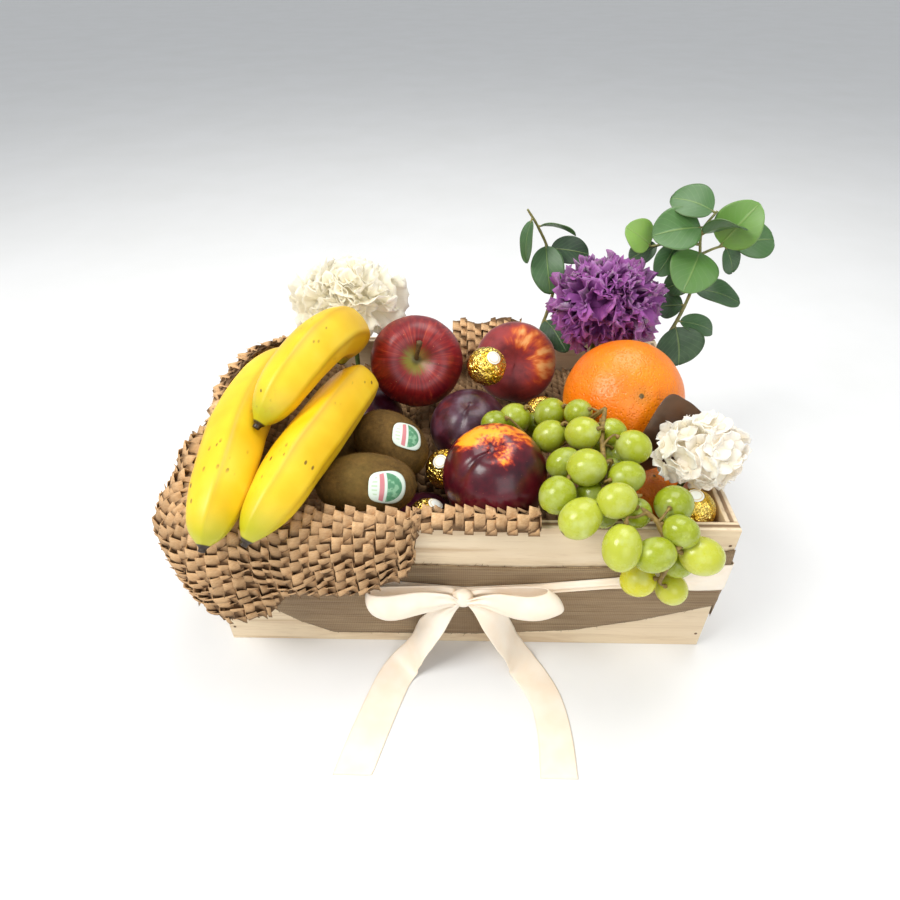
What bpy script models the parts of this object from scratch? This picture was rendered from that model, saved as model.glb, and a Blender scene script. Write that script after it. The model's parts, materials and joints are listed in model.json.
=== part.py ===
"""A fruit gift basket: a plywood crate lined with slit kraft paper and heaped with fruit.

All lengths are in metres. The origin is the middle of the crate's underside, +X is to the
right of its front, +Y to its back and +Z up. Every separate piece is an object of its own.
"""
import math

import bpy
import numpy as np
from mathutils import Matrix, Vector, noise
from mathutils.bvhtree import BVHTree

# Crate
CRATE_WIDTH = 0.350
CRATE_DEPTH = 0.246
CRATE_HEIGHT = 0.1225
PLY = 0.008
EDGE_ROUNDING = 0.0005
GAP = 0.0003
HALF_X = CRATE_WIDTH / 2
HALF_Y = CRATE_DEPTH / 2
INNER_X = HALF_X - PLY
INNER_Y = HALF_Y - PLY

# Cloth round the crate
BAND_LIFT = 0.0011
BAND_THICKNESS = 0.0008
RIBBON_LIFT = 0.0024
RIBBON_THICKNESS = 0.0006
RIBBON_WIDTH = 0.025
TAIL_FRONT = -0.2235
RIBBON_ON_TABLE = 0.0006

# Paper
PAPER_THICKNESS = 0.007
ARCH_THICKNESS = 0.006
BACK_THICKNESS = 0.004
WRAP_THICKNESS = 0.0008
BED_LEVEL = 0.099
BED_CLEARANCE = 0.0009
BED_STEP = 0.0165
CRUMPLE_SCALE = 42.0
DRAPE_LEFT_START = -0.036
DRAPE_FRONT_END = 0.047
DRAPE_CORNER = 0.025

# Round fruit: middle, radius and the way that the stem end looks
ORANGE = ((0.119, -0.003, 0.140), 0.045, (0.06, -0.73, 0.56))
APPLE = ((-0.041, 0.050, 0.140), 0.038, (0.07, -0.81, 0.56))
FLAT_PEACH = ((0.042, 0.064, 0.131), 0.0345, (-0.08, -0.85, 0.52))
NECTARINE_FRONT = ((0.020, -0.0785, 0.128), 0.0355, (-0.15, -0.26, 0.97))
NECTARINE_DARK = ((0.003, -0.001, 0.110), 0.031, (0.0, -0.15, 0.98))
PLUM_LOW = ((-0.030, -0.068, 0.070), 0.024, (0.2, 0.1, 0.97))
PLUM_BACK = ((-0.080, 0.042, 0.088), 0.026, (-0.3, 0.1, 0.95))
MANDARIN = ((0.138, -0.042, 0.082), 0.0265, (0.1, -0.3, 0.95))

# Kiwis: middle, radii along and across, long axis
KIWIS = {
    "kiwi_front": ((-0.0675, -0.0855, 0.1242), (0.0345, 0.0222), (1.0, 0.06, -0.05)),
    "kiwi_back": ((-0.0560, -0.0325, 0.1180), (0.0310, 0.0232), (0.80, -0.50, -0.32)),
    "kiwi_hidden": ((-0.100, -0.006, 0.097), (0.0280, 0.0215), (0.25, 0.95, 0.10)),
}
STICKERS = {
    "sticker_front": ("kiwi_front", (0.62, -0.62, 0.48), 0.0112),
    "sticker_back": ("kiwi_back", (0.56, -0.44, 0.70), 0.0106),
}

# Foil chocolates: middle, radius and the way that the round seal looks
CHOCOLATES = {
    "chocolate_top": ((0.016, 0.022, 0.153), 0.0155, (0.30, -0.48, 0.76)),
    "chocolate_middle": ((-0.0145, -0.046, 0.105), 0.0155, (-0.26, -0.44, 0.86)),
    "chocolate_front": ((-0.026, -0.095, 0.101), 0.0152, (0.41, 0.08, 0.96)),
    "chocolate_right": ((0.1515, -0.0995, 0.118), 0.0145, (-0.15, -0.10, 0.99)),
    "chocolate_cupped": ((0.062, 0.017, 0.111), 0.0150, None),
}
SEAL_RADIUS = 0.0056
DISC_THICKNESS = 0.0003
DISC_LIFT = 0.0008
DISC_POINTS = 4

# Bananas: middle line from the dark tip to the stalk, and the fullest radius
BANANAS = {
    "banana_left": (0.0192, (
        (-0.153, -0.157, 0.139), (-0.1515, -0.148, 0.145), (-0.150, -0.131, 0.151),
        (-0.150, -0.104, 0.156), (-0.152, -0.072, 0.158), (-0.152, -0.033, 0.157),
        (-0.148, 0.007, 0.154), (-0.143, 0.037, 0.147), (-0.139, 0.062, 0.137))),
    "banana_right": (0.0187, (
        (-0.129, -0.152, 0.139), (-0.122, -0.142, 0.147), (-0.114, -0.124, 0.152),
        (-0.107, -0.099, 0.155), (-0.098, -0.069, 0.156), (-0.090, -0.037, 0.155),
        (-0.084, -0.008, 0.151), (-0.085, 0.016, 0.139), (-0.091, 0.032, 0.124))),
    "banana_top": (0.0180, (
        (-0.134, -0.080, 0.171), (-0.127, -0.069, 0.178), (-0.117, -0.050, 0.188),
        (-0.106, -0.022, 0.193), (-0.097, 0.004, 0.191), (-0.092, 0.028, 0.179),
        (-0.096, 0.043, 0.160), (-0.105, 0.050, 0.141))),
}
BANANA_TIP_RADIUS = 0.0045
BANANA_STALK_RADIUS = 0.0058
BANANA_RINGS = 15
BANANA_RIBS = 0.035

# Grapes: middle, length and thickness
GRAPES = (
    ((0.036, -0.021, 0.133), 0.026, 0.024), ((0.021, -0.034, 0.139), 0.021, 0.019),
    ((0.052, -0.013, 0.122), 0.022, 0.020), ((0.062, -0.024, 0.141), 0.025, 0.023),
    ((0.058, -0.055, 0.144), 0.025, 0.022), ((0.078, -0.067, 0.156), 0.025, 0.023),
    ((0.079, -0.039, 0.153), 0.021, 0.019), ((0.099, -0.063, 0.154), 0.021, 0.019),
    ((0.109, -0.081, 0.156), 0.024, 0.022), ((0.098, -0.057, 0.135), 0.022, 0.019),
    ((0.104, -0.072, 0.141), 0.021, 0.019), ((0.0640, -0.086, 0.146), 0.024, 0.020),
    ((0.076, -0.100, 0.154), 0.026, 0.024), ((0.101, -0.104, 0.150), 0.025, 0.021),
    ((0.095, -0.087, 0.139), 0.021, 0.019), ((0.057, -0.115, 0.144), 0.025, 0.023),
    ((0.080, -0.106, 0.136), 0.021, 0.019), ((0.090, -0.129, 0.153), 0.025, 0.022),
    ((0.086, -0.122, 0.137), 0.021, 0.019), ((0.069, -0.134, 0.143), 0.029, 0.024),
    ((0.105, -0.125, 0.139), 0.022, 0.019), ((0.129, -0.119, 0.141), 0.028, 0.024),
    ((0.128, -0.140, 0.139), 0.023, 0.020), ((0.092, -0.150, 0.135), 0.029, 0.024),
    ((0.112, -0.151, 0.130), 0.026, 0.021), ((0.143, -0.145, 0.123), 0.029, 0.024),
    ((0.133, -0.138, 0.108), 0.022, 0.019), ((0.111, -0.1395, 0.093), 0.024, 0.021),
    ((0.134, -0.1395, 0.085), 0.024, 0.021),
)
GRAPE_STALK = (
    (0.094, -0.052, 0.166), (0.090, -0.070, 0.158), (0.089, -0.090, 0.152), (0.090, -0.108, 0.145),
    (0.100, -0.125, 0.148), (0.115, -0.137, 0.142), (0.122, -0.148, 0.122), (0.122, -0.146, 0.100),
)
GRAPE_STALK_RADIUS = 0.0016
GRAPE_TWIG_RADIUS = 0.0012
GRAPE_RINGS = 5
GRAPE_SIDES = 6

# Flowers: middle of the head, radii, the way that it looks, foot of its stem
FLOWERS = {
    "carnation_purple": ((0.111, 0.066, 0.187), (0.048, 0.036, 0.033), (0.10, -0.35, 0.93),
                         (0.104, 0.074, 0.106)),
    "carnation_white": ((-0.098, 0.092, 0.178), (0.046, 0.036, 0.029), (-0.05, -0.30, 0.95),
                        (-0.098, 0.092, 0.108)),
    "hydrangea_white": ((0.154, -0.076, 0.149), (0.034, 0.0235, 0.021), (0.05, -0.35, 0.93),
                        (0.150, -0.070, 0.108)),
}
PETAL_WAVES = {"carnation_purple": 7, "carnation_white": 7, "hydrangea_white": 5}
FLOWER_RINGS = 9
FLOWER_SIDES = 18

# Leaves: stem end, tip, width and the way that the upper face looks
RIGHT_SPRIG = (
    (0.150, 0.062, 0.108), (0.160, 0.068, 0.136), (0.175, 0.078, 0.163), (0.184, 0.086, 0.187),
    (0.185, 0.087, 0.212), (0.181, 0.086, 0.236), (0.190, 0.089, 0.251),
)
RIGHT_TWIGS = (
    ((0.184, 0.086, 0.218), (0.197, 0.088, 0.223), (0.209, 0.090, 0.224)),
    ((0.183, 0.086, 0.226), (0.164, 0.089, 0.226), (0.145, 0.092, 0.222)),
)
RIGHT_LEAVES = (
    ((0.189, 0.089, 0.250), (0.158, 0.106, 0.255), 0.030, (0.1, -0.6, 0.8)),
    ((0.182, 0.086, 0.240), (0.142, 0.082, 0.234), 0.032, (-0.1, -0.7, 0.7)),
    ((0.198, 0.088, 0.223), (0.217, 0.082, 0.259), 0.033, (-0.2, -0.8, 0.6)),
    ((0.181, 0.085, 0.233), (0.204, 0.062, 0.247), 0.026, (0.0, 0.60, 0.80)),
    ((0.184, 0.085, 0.222), (0.168, 0.060, 0.198), 0.035, (0.0, -0.7, 0.7)),
    ((0.208, 0.090, 0.223), (0.243, 0.097, 0.226), 0.029, (0.0, -0.7, 0.7)),
    ((0.203, 0.089, 0.223), (0.215, 0.091, 0.201), 0.015, (0.2, -0.9, 0.4)),
    ((0.164, 0.089, 0.225), (0.151, 0.080, 0.203), 0.019, (0.2, -0.9, 0.4)),
    ((0.146, 0.092, 0.222), (0.123, 0.090, 0.238), 0.024, (-0.2, -0.7, 0.7)),
    ((0.152, 0.091, 0.223), (0.134, 0.106, 0.205), 0.016, (0.0, -0.8, 0.6)),
    ((0.185, 0.087, 0.200), (0.165, 0.095, 0.184), 0.018, (0.1, -0.8, 0.6)),
    ((0.184, 0.086, 0.188), (0.223, 0.078, 0.180), 0.024, (0.0, -0.35, 0.93)),
    ((0.179, 0.082, 0.176), (0.165, 0.099, 0.166), 0.020, (0.0, -0.8, 0.6)),
    ((0.173, 0.077, 0.162), (0.182, 0.068, 0.1275), 0.040, (0.1, -0.8, 0.55)),
    ((0.175, 0.079, 0.165), (0.213, 0.092, 0.147), 0.016, (0.0, -0.7, 0.7)),
)
LEFT_SPRIG = (
    (0.060, 0.099, 0.106), (0.066, 0.104, 0.138), (0.073, 0.108, 0.165), (0.074, 0.107, 0.185),
    (0.066, 0.101, 0.215), (0.055, 0.095, 0.237), (0.046, 0.091, 0.251),
)
LEFT_LEAVES = (
    ((0.050, 0.093, 0.244), (0.048, 0.084, 0.211), 0.012, (-0.8, -0.6, 0.1)),
    ((0.055, 0.095, 0.237), (0.085, 0.090, 0.231), 0.016, (0.1, 0.45, 0.9)),
    ((0.066, 0.101, 0.216), (0.099, 0.100, 0.212), 0.020, (0.0, -0.8, 0.6)),
    ((0.063, 0.100, 0.221), (0.068, 0.077, 0.188), 0.024, (-0.2, -0.9, 0.4)),
    ((0.069, 0.105, 0.150), (0.086, 0.072, 0.137), 0.022, (0.1, -0.7, 0.7)),
)
LEAF_THICKNESS = 0.0009


def finish(name, colour, roughness, metallic=0.0):
    """Return a Principled material."""
    material = bpy.data.materials.new(name)
    material.use_nodes = True
    shader = material.node_tree.nodes["Principled BSDF"]
    shader.inputs["Base Color"].default_value = (*colour, 1.0)
    shader.inputs["Roughness"].default_value = roughness
    shader.inputs["Metallic"].default_value = metallic
    return material


def add_object(name, material, vertices, faces):
    """Return a new object in the scene with this mesh."""
    mesh = bpy.data.meshes.new(name)
    mesh.from_pydata([tuple(point) for point in vertices], [], faces)
    mesh.materials.append(material)
    mesh.shade_smooth()
    item = bpy.data.objects.new(name, mesh)
    bpy.context.scene.collection.objects.link(item)
    return item


def turn_to(direction, spin=0.0):
    """Return the rotation that takes +Z to a direction, after a spin about +Z."""
    turned = Vector(direction).normalized().to_track_quat("Z", "Y").to_matrix()
    return (turned @ Matrix.Rotation(spin, 3, "Z")).to_4x4()


def place(item, centre, direction=(0, 0, 1), spin=0.0):
    """Put an object's origin at a centre, with its own +Z along a direction."""
    item.matrix_world = Matrix.Translation(centre) @ turn_to(direction, spin)
    return item


def smooth_path(points, count):
    """Return points spread along a smooth curve through the given ones."""
    points = np.array(points, float)
    padded = np.vstack([2 * points[0] - points[1], points, 2 * points[-1] - points[-2]])
    result = []
    for place_along in np.linspace(0, len(points) - 1, count):
        i = min(int(place_along), len(points) - 2)
        t = place_along - i
        a, b, c, d = padded[i:i + 4]
        result.append(0.5 * (2 * b + (c - a) * t + (2 * a - 5 * b + 4 * c - d) * t ** 2
                             + (3 * b - a - 3 * c + d) * t ** 3))
    return np.array(result)


def unit(vectors):
    """Return vectors scaled to length one."""
    length = np.linalg.norm(vectors, axis=-1, keepdims=True)
    return vectors / np.maximum(length, 1e-12)


def turned_solid(name, material, stations, sides, relief=None):
    """Return a solid turned about Z through (radius, height) stations from top to bottom.

    The first and the last station are the poles. Relief scales a point, given its share of
    the way down and its angle.
    """
    vertices = [(0, 0, stations[0][1])]
    for ring, (radius, height) in enumerate(stations[1:-1], 1):
        for side in range(sides):
            angle = 2 * math.pi * side / sides
            point = Vector((radius * math.cos(angle), radius * math.sin(angle), height))
            scale = relief(ring / (len(stations) - 1), angle, point) if relief else 1.0
            vertices.append(point * scale)
    vertices.append((0, 0, stations[-1][1]))
    return add_object(name, material, vertices, ring_faces(len(stations) - 2, sides))


def ring_faces(rings, sides):
    """Return the faces that join a top pole, rings of points and a bottom pole."""
    faces = []
    last = 1 + rings * sides
    for side in range(sides):
        after = (side + 1) % sides
        faces.append((0, 1 + side, 1 + after))
        for ring in range(rings - 1):
            top = 1 + ring * sides
            low = top + sides
            faces.append((top + side, low + side, low + after, top + after))
        base = last - sides
        faces.append((base + side, last, base + after))
    return faces


def tube_solid(name, material, points, radii, sides, ribs=0.0):
    """Return a closed tube along points; ribs makes its section slightly five-sided."""
    points = np.array(points, float)
    along = unit(np.gradient(points, axis=0))
    across = np.cross(along[0], (0.0, 0.0, 1.0))
    if np.linalg.norm(across) < 0.1:
        across = np.cross(along[0], (0.0, 1.0, 0.0))
    vertices = [points[0]]
    for middle, forward, radius in zip(points, along, radii):
        across = unit(across - forward * np.dot(across, forward))
        up = np.cross(across, forward)
        for side in range(sides):
            angle = 2 * math.pi * side / sides
            reach = radius * (1 + ribs * math.cos(5 * angle))
            vertices.append(middle + reach * (math.cos(angle) * across + math.sin(angle) * up))
    vertices.append(points[-1])
    return add_object(name, material, vertices, ring_faces(len(points), sides))


def sheet_solid(name, material, grid, thickness, ring=False):
    """Return a thin closed solid about a grid of points, both faces split alike."""
    grid = np.array(grid, float)
    rows, columns, _ = grid.shape
    along = np.roll(grid, -1, 0) - np.roll(grid, 1, 0) if ring else np.gradient(grid, axis=0)
    across = np.gradient(grid, axis=1)
    normals = unit(np.cross(along, across))
    top = (grid + normals * thickness / 2).reshape(-1, 3)
    bottom = (grid - normals * thickness / 2).reshape(-1, 3)
    count = rows * columns
    faces = []
    for row in range(rows if ring else rows - 1):
        after = (row + 1) % rows
        for column in range(columns - 1):
            a = row * columns + column
            b = after * columns + column
            faces += [(a, b, b + 1), (a, b + 1, a + 1)]
            faces += [(a + count, b + 1 + count, b + count)]
            faces += [(a + count, a + 1 + count, b + 1 + count)]
        a = row * columns
        b = after * columns
        faces += [(a, a + count, b + count), (a, b + count, b)]
        a += columns - 1
        b += columns - 1
        faces += [(a, b, b + count), (a, b + count, a + count)]
    if not ring:
        for column in range(columns - 1):
            a = column
            faces += [(a, a + 1, a + 1 + count), (a, a + 1 + count, a + count)]
            a = (rows - 1) * columns + column
            faces += [(a, a + count, a + 1 + count), (a, a + 1 + count, a + 1)]
    return add_object(name, material, np.vstack([top, bottom]), faces)


def fuse(item, others, solver="EXACT"):
    """Join other closed objects to one by a Boolean union, and remove them."""
    group = bpy.data.collections.new(item.name + "_parts")
    for other in others:
        bpy.context.scene.collection.objects.unlink(other)
        group.objects.link(other)
    bpy.context.scene.collection.children.link(group)
    union = item.modifiers.new("union", "BOOLEAN")
    union.operation = "UNION"
    union.operand_type = "COLLECTION"
    union.collection = group
    union.solver = solver
    bpy.context.view_layer.update()
    joined = bpy.data.meshes.new_from_object(item.evaluated_get(bpy.context.evaluated_depsgraph_get()))
    item.modifiers.clear()
    item.data = joined
    for other in list(group.objects):
        bpy.data.objects.remove(other)
    bpy.data.collections.remove(group)
    return item


def crumple(point, seed, size):
    """Return a smooth random offset of up to about a size at a point."""
    x, y, z = point
    spot = Vector((x * CRUMPLE_SCALE + seed, y * CRUMPLE_SCALE, z * CRUMPLE_SCALE))
    return size * noise.noise(spot)


def ball_stations(radius, flatness, rings, dimple=0.0, dimple_width=0.35, shoulder=0.0):
    """Return stations of a ball, flattened, with a hollow at its top and fuller shoulders."""
    stations = []
    for ring in range(rings + 1):
        angle = math.pi * ring / rings
        hollow = dimple * radius * math.exp(-(angle / dimple_width) ** 2)
        reach = radius * math.sin(angle) * (1 + shoulder * math.cos(angle))
        stations.append((reach, radius * flatness * math.cos(angle) - hollow))
    return stations


def groove(angle_at, depth, width):
    """Return a relief that sinks a seam along one meridian, fading towards the foot."""
    def relief(way, angle, _point):
        away = math.atan2(math.sin(angle - angle_at), math.cos(angle - angle_at))
        return 1 - depth * math.exp(-(away / width) ** 2) * math.cos(way * math.pi / 2)
    return relief


def make_crate(wood):
    """Make the four walls and the floor."""
    side_y = INNER_Y - GAP
    floor_x = INNER_X - GAP
    panels = {
        "crate_front": ((-HALF_X, -HALF_Y, 0), (HALF_X, -INNER_Y, CRATE_HEIGHT)),
        "crate_back": ((-HALF_X, INNER_Y, 0), (HALF_X, HALF_Y, CRATE_HEIGHT)),
        "crate_left": ((-HALF_X, -side_y, 0), (-INNER_X, side_y, CRATE_HEIGHT)),
        "crate_right": ((INNER_X, -side_y, 0), (HALF_X, side_y, CRATE_HEIGHT)),
        "crate_floor": ((-floor_x, -side_y, 0), (floor_x, side_y, PLY)),
    }
    for name, (low, high) in panels.items():
        size = np.array(high) - np.array(low)
        corners = [(x, y, z) for x in (-0.5, 0.5) for y in (-0.5, 0.5) for z in (-0.5, 0.5)]
        faces = [(0, 1, 3, 2), (4, 6, 7, 5), (0, 4, 5, 1), (2, 3, 7, 6), (0, 2, 6, 4), (1, 5, 7, 3)]
        item = add_object(name, wood, [np.array(c) * size for c in corners], faces)
        item.data.shade_flat()
        item.location = (np.array(high) + np.array(low)) / 2
        rounding = item.modifiers.new("edges", "BEVEL")
        rounding.width = EDGE_ROUNDING
        rounding.segments = 1


def ring_round_crate(lift, heights, across):
    """Return a ring grid a little outside the walls; heights(x, y) gives low and high edges."""
    x = HALF_X + lift
    y = HALF_Y + lift
    turn = 0.0015
    fronts = [(-x + turn + (2 * x - 2 * turn) * i / 11, -y) for i in range(12)]
    rights = [(x, -y + turn + (2 * y - 2 * turn) * i / 4) for i in range(5)]
    outline = fronts + rights + [(-a, -b) for a, b in fronts] + [(-a, -b) for a, b in rights]
    grid = []
    for a, b in outline:
        low, high = heights(a, b)
        grid.append([(a, b, low + (high - low) * i / (across - 1)) for i in range(across)])
    return grid


def band_heights(x, y):
    """Return the wavy lower and upper edge of the woven band."""
    if y > -HALF_Y:
        wave = 0.004 * math.sin(31 * x + 23 * y)
        return 0.034 + wave, 0.098 - wave
    low = np.interp(x, (-0.175, -0.145, -0.12, -0.096, 0.012, 0.08, 0.127, 0.175),
                    (0.046, 0.045, 0.024, 0.011, 0.012, 0.018, 0.031, 0.049))
    high = np.interp(x, (-0.175, -0.05, 0.04, 0.10, 0.14, 0.175),
                     (0.084, 0.088, 0.086, 0.088, 0.094, 0.106))
    return low, high


def ribbon_heights(x, y):
    """Return the lower and upper edge of the ribbon, drawn together at the knot."""
    if y > -HALF_Y:
        return 0.067, 0.067 + RIBBON_WIDTH
    middle = np.interp(x, (-0.175, -0.11, -0.05, 0.0, 0.05, 0.10, 0.175),
                       (0.079, 0.0775, 0.0705, 0.063, 0.0665, 0.070, 0.0805))
    half = np.interp(abs(x), (0.0, 0.05, 0.10, 0.15, 0.175), (0.0045, 0.006, 0.0085, 0.0122, 0.0125))
    return middle - half, middle + half


def strip_grid(path, widths, across):
    """Return a strip's grid along a path, with its width along the across directions."""
    grid = []
    for point, width, direction in zip(path, widths, unit(np.array(across, float))):
        grid.append([point + direction * width * share for share in (-0.5, 0.0, 0.5)])
    return grid


def make_ribbons(weave, satin):
    """Make the woven band, the ribbon, its knot, two loops and two tails."""
    sheet_solid("woven_band", weave, ring_round_crate(BAND_LIFT, band_heights, 3),
                BAND_THICKNESS, ring=True)
    sheet_solid("ribbon_band", satin, ring_round_crate(RIBBON_LIFT, ribbon_heights, 2),
                RIBBON_THICKNESS, ring=True)
    knot = turned_solid("bow_knot", satin, ball_stations(1.0, 1.0, 6), 10)
    knot.data.transform(Matrix.Diagonal((0.0072, 0.0052, 0.0066, 1)))
    place(knot, (-0.001, -0.1325, 0.0635))
    for side, name in ((-1, "bow_loop_left"), (1, "bow_loop_right")):
        plan = ((0.0080, -0.1305, 0.0655), (0.028, -0.1295, 0.0645), (0.052, -0.1300, 0.0625),
                (0.0655, -0.1345, 0.0615), (0.062, -0.1435, 0.0595), (0.045, -0.1475, 0.0585),
                (0.025, -0.1440, 0.0605), (0.0085, -0.1355, 0.0625))
        path = smooth_path([(side * x - 0.001, y, z) for x, y, z in plan], 16)
        share = np.sin(np.linspace(0, math.pi, 16)) ** 0.7
        widths = 0.008 + (0.0225 - 0.008) * share
        across = [(0, 0.22, 1)] * len(path)
        sheet_solid(name, satin, strip_grid(path, widths, across), RIBBON_THICKNESS)
    tails = {
        "ribbon_tail_left": ((-0.006, -0.1335, 0.0560), (-0.009, -0.1385, 0.040),
                             (-0.016, -0.1450, 0.020), (-0.024, -0.1535, 0.005),
                             (-0.034, -0.1680, RIBBON_ON_TABLE), (-0.050, -0.192, RIBBON_ON_TABLE),
                             (-0.0705, TAIL_FRONT, RIBBON_ON_TABLE)),
        "ribbon_tail_right": ((0.004, -0.1335, 0.0560), (0.012, -0.1390, 0.040),
                              (0.025, -0.1460, 0.020), (0.037, -0.1550, 0.005),
                              (0.047, -0.1690, RIBBON_ON_TABLE), (0.055, -0.193, RIBBON_ON_TABLE),
                              (0.0605, TAIL_FRONT, RIBBON_ON_TABLE)),
    }
    for name, route in tails.items():
        path = smooth_path(route, 13)
        path[:, 2] = np.maximum(path[:, 2], RIBBON_ON_TABLE)
        widths = np.interp(np.arange(13), (0, 3, 7, 12), (0.008, 0.020, RIBBON_WIDTH, RIBBON_WIDTH))
        along = np.gradient(path, axis=0)
        flat = np.stack([-along[:, 1], along[:, 0], 0 * along[:, 0]], axis=1)
        flat[:6] = (1, 0.05, 0)
        flat[-1] = (1, 0, 0)
        sheet_solid(name, satin, strip_grid(path, widths, flat), RIBBON_THICKNESS)


def drape_rim(way):
    """Return the rim point and the outward direction at a distance along the drape."""
    corner_x = -HALF_X + PLY / 2 + DRAPE_CORNER
    corner_y = -HALF_Y + PLY / 2 + DRAPE_CORNER
    left = DRAPE_LEFT_START - corner_y
    bend = DRAPE_CORNER * math.pi / 2
    if way < left:
        return (corner_x - DRAPE_CORNER, DRAPE_LEFT_START - way), (-1, 0)
    if way < left + bend:
        angle = (way - left) / DRAPE_CORNER
        outward = (-math.cos(angle), -math.sin(angle))
        return (corner_x + DRAPE_CORNER * outward[0], corner_y + DRAPE_CORNER * outward[1]), outward
    return (corner_x + way - left - bend, corner_y - DRAPE_CORNER), (0, -1)


def drape_grid(rows, columns):
    """Return the paper that lies over the front left corner and along the front rim."""
    left = DRAPE_LEFT_START + HALF_Y - PLY / 2 - DRAPE_CORNER
    bend = DRAPE_CORNER * math.pi / 2
    front = DRAPE_FRONT_END + HALF_X - PLY / 2 - DRAPE_CORNER
    total = left + bend + front
    grid = []
    for row in range(rows):
        way = total * row / (rows - 1)
        (x, y), (out_x, out_y) = drape_rim(way)
        hang = np.interp(way, (0, 0.045, left + bend / 2, 0.110, 0.128, 0.160, 0.185, 0.207, 0.213, total),
                         (0.004, 0.040, 0.062, 0.063, 0.040, 0.037, 0.034, 0.022, 0.002, -0.002))
        bulge = np.interp(way, (0, 0.03, left + bend / 2, 0.115, 0.200, 0.213, total),
                          (0.012, 0.017, 0.018, 0.007, 0.005, -0.002, -0.003))
        lift = np.interp(way, (0, 0.03, 0.075, 0.11, total), (0.010, 0.012, 0.004, 0.0, 0.0))
        inward = np.interp(way, (0, 0.10, 0.13, total), (0.014, 0.012, 0.0, -0.001))
        section = ((-inward - 0.002, 0.0075 - inward), (-0.4 * inward, 0.0068), (0.003, 0.0068),
                   (0.007 + 0.5 * bulge, 0.005 + lift), (0.011 + bulge, -0.010 + lift),
                   (0.011 + bulge, -0.4 * hang - 0.010 + 0.5 * lift), (0.0105 + 0.8 * bulge, -hang - 0.012))
        strip = ((-0.001, 0.0075), (0.001, 0.0069), (0.004, 0.0066), (0.0065, 0.0062), (0.009, 0.0052),
                 (0.0115, 0.0034), (0.0130, 0.0014))
        share = np.clip((hang - 0.003) / 0.010, 0.0, 1.0)
        section = share * np.array(section) + (1 - share) * np.array(strip)
        line = []
        for out, up in smooth_path(section, columns):
            point = np.array((x + out_x * out, y + out_y * out, CRATE_HEIGHT + up))
            push = abs(crumple(point, 3.0, 0.006)) * (1.0 if out > 0.010 else 0.15)
            line.append(point + push * np.array((out_x, out_y, 0.2)))
        grid.append(line)
    return grid


def arch_grid(rows, columns):
    """Return the curled fold of paper that stands on the left wall."""
    grid = []
    for y in np.linspace(-0.033, 0.094, rows):
        reach = np.interp(y, (-0.033, 0.009, 0.036, 0.053, 0.068, 0.094),
                          (0.187, 0.193, 0.190, 0.184, 0.176, 0.160))
        height = np.interp(y, (-0.033, -0.015, 0.06, 0.094), (0.012, 0.019, 0.022, 0.012))
        section = ((0.034, -0.003), (0.025, 0.0070), (0.010, 0.0085), (0.0015, 0.012),
                   (0.0, 0.7 * height), (0.004, height), (0.011, height + 0.002))
        line = []
        for inward, up in smooth_path(section, columns):
            point = np.array((-reach + inward, y, CRATE_HEIGHT + up))
            line.append(point - np.array((abs(crumple(point, 9.0, 0.004)), 0, 0)))
        grid.append(line)
    return grid


def back_grid(rows, columns):
    """Return the scrap of paper that stands up at the back wall."""
    grid = []
    for x in np.linspace(-0.012, 0.050, rows):
        section = ((0.1045, -0.014), (0.1075, 0.002), (0.113, 0.011), (0.1215, 0.018))
        line = []
        for y, up in smooth_path(section, columns):
            point = np.array((x, y, CRATE_HEIGHT + up))
            line.append(point + np.array((0, 0, crumple(point, 5.0, 0.006) * max(up, 0) / 0.018)))
        grid.append(line)
    return grid


def make_papers(kraft):
    """Make the three loose pieces of slit paper."""
    sheet_solid("paper_drape", kraft, drape_grid(25, 7), PAPER_THICKNESS)
    sheet_solid("paper_arch", kraft, arch_grid(10, 7), ARCH_THICKNESS)
    sheet_solid("paper_back", kraft, back_grid(7, 4), BACK_THICKNESS)


def make_round_fruit(finishes):
    """Make the orange, apple, peach, nectarines, plums and mandarin."""
    centre, radius, look = ORANGE
    orange = turned_solid("orange", finishes["orange"],
                          ball_stations(radius, 0.97, 10, dimple=0.03, dimple_width=0.18), 16)
    place(orange, centre, look)
    centre, radius, look = APPLE
    apple = turned_solid("apple", finishes["apple"],
                         ball_stations(radius, 0.90, 11, dimple=0.34, dimple_width=0.42, shoulder=0.07), 16)
    place(apple, centre, look, 0.4)
    away = np.array(unit(np.array(look)))
    root = np.array(centre) + away * radius * 0.48
    stalk = smooth_path([root, root + away * 0.008 + (0.0005, 0, 0.004), root + away * 0.011 + (0.003, 0, 0.016)], 5)
    fuse(apple, [tube_solid("stalk", finishes["apple"], stalk, (0.0016, 0.0013, 0.0012, 0.0013, 0.0017), 6)])
    centre, radius, look = FLAT_PEACH
    stations = ball_stations(radius, 0.60, 11, dimple=0.30, dimple_width=0.40)
    peach = turned_solid("flat_peach", finishes["peach"], stations, 16, groove(-2.0, 0.06, 0.22))
    place(peach, centre, look, 0.3)
    nectarines = {"nectarine_front": (NECTARINE_FRONT, 10, 16), "nectarine_dark": (NECTARINE_DARK, 9, 14),
                  "plum_low": (PLUM_LOW, 7, 10), "plum_back": (PLUM_BACK, 7, 10)}
    for name, ((centre, radius, look), rings, sides) in nectarines.items():
        stations = ball_stations(radius, 0.97, rings, dimple=0.12, dimple_width=0.26, shoulder=0.03)
        item = turned_solid(name, finishes["nectarine"], stations, sides, groove(-math.pi / 2, 0.035, 0.16))
        place(item, centre, look, -0.35)
    centre, radius, look = MANDARIN
    mandarin = turned_solid("mandarin", finishes["orange"], ball_stations(radius, 0.88, 8, dimple=0.05), 14)
    place(mandarin, centre, look)


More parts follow.
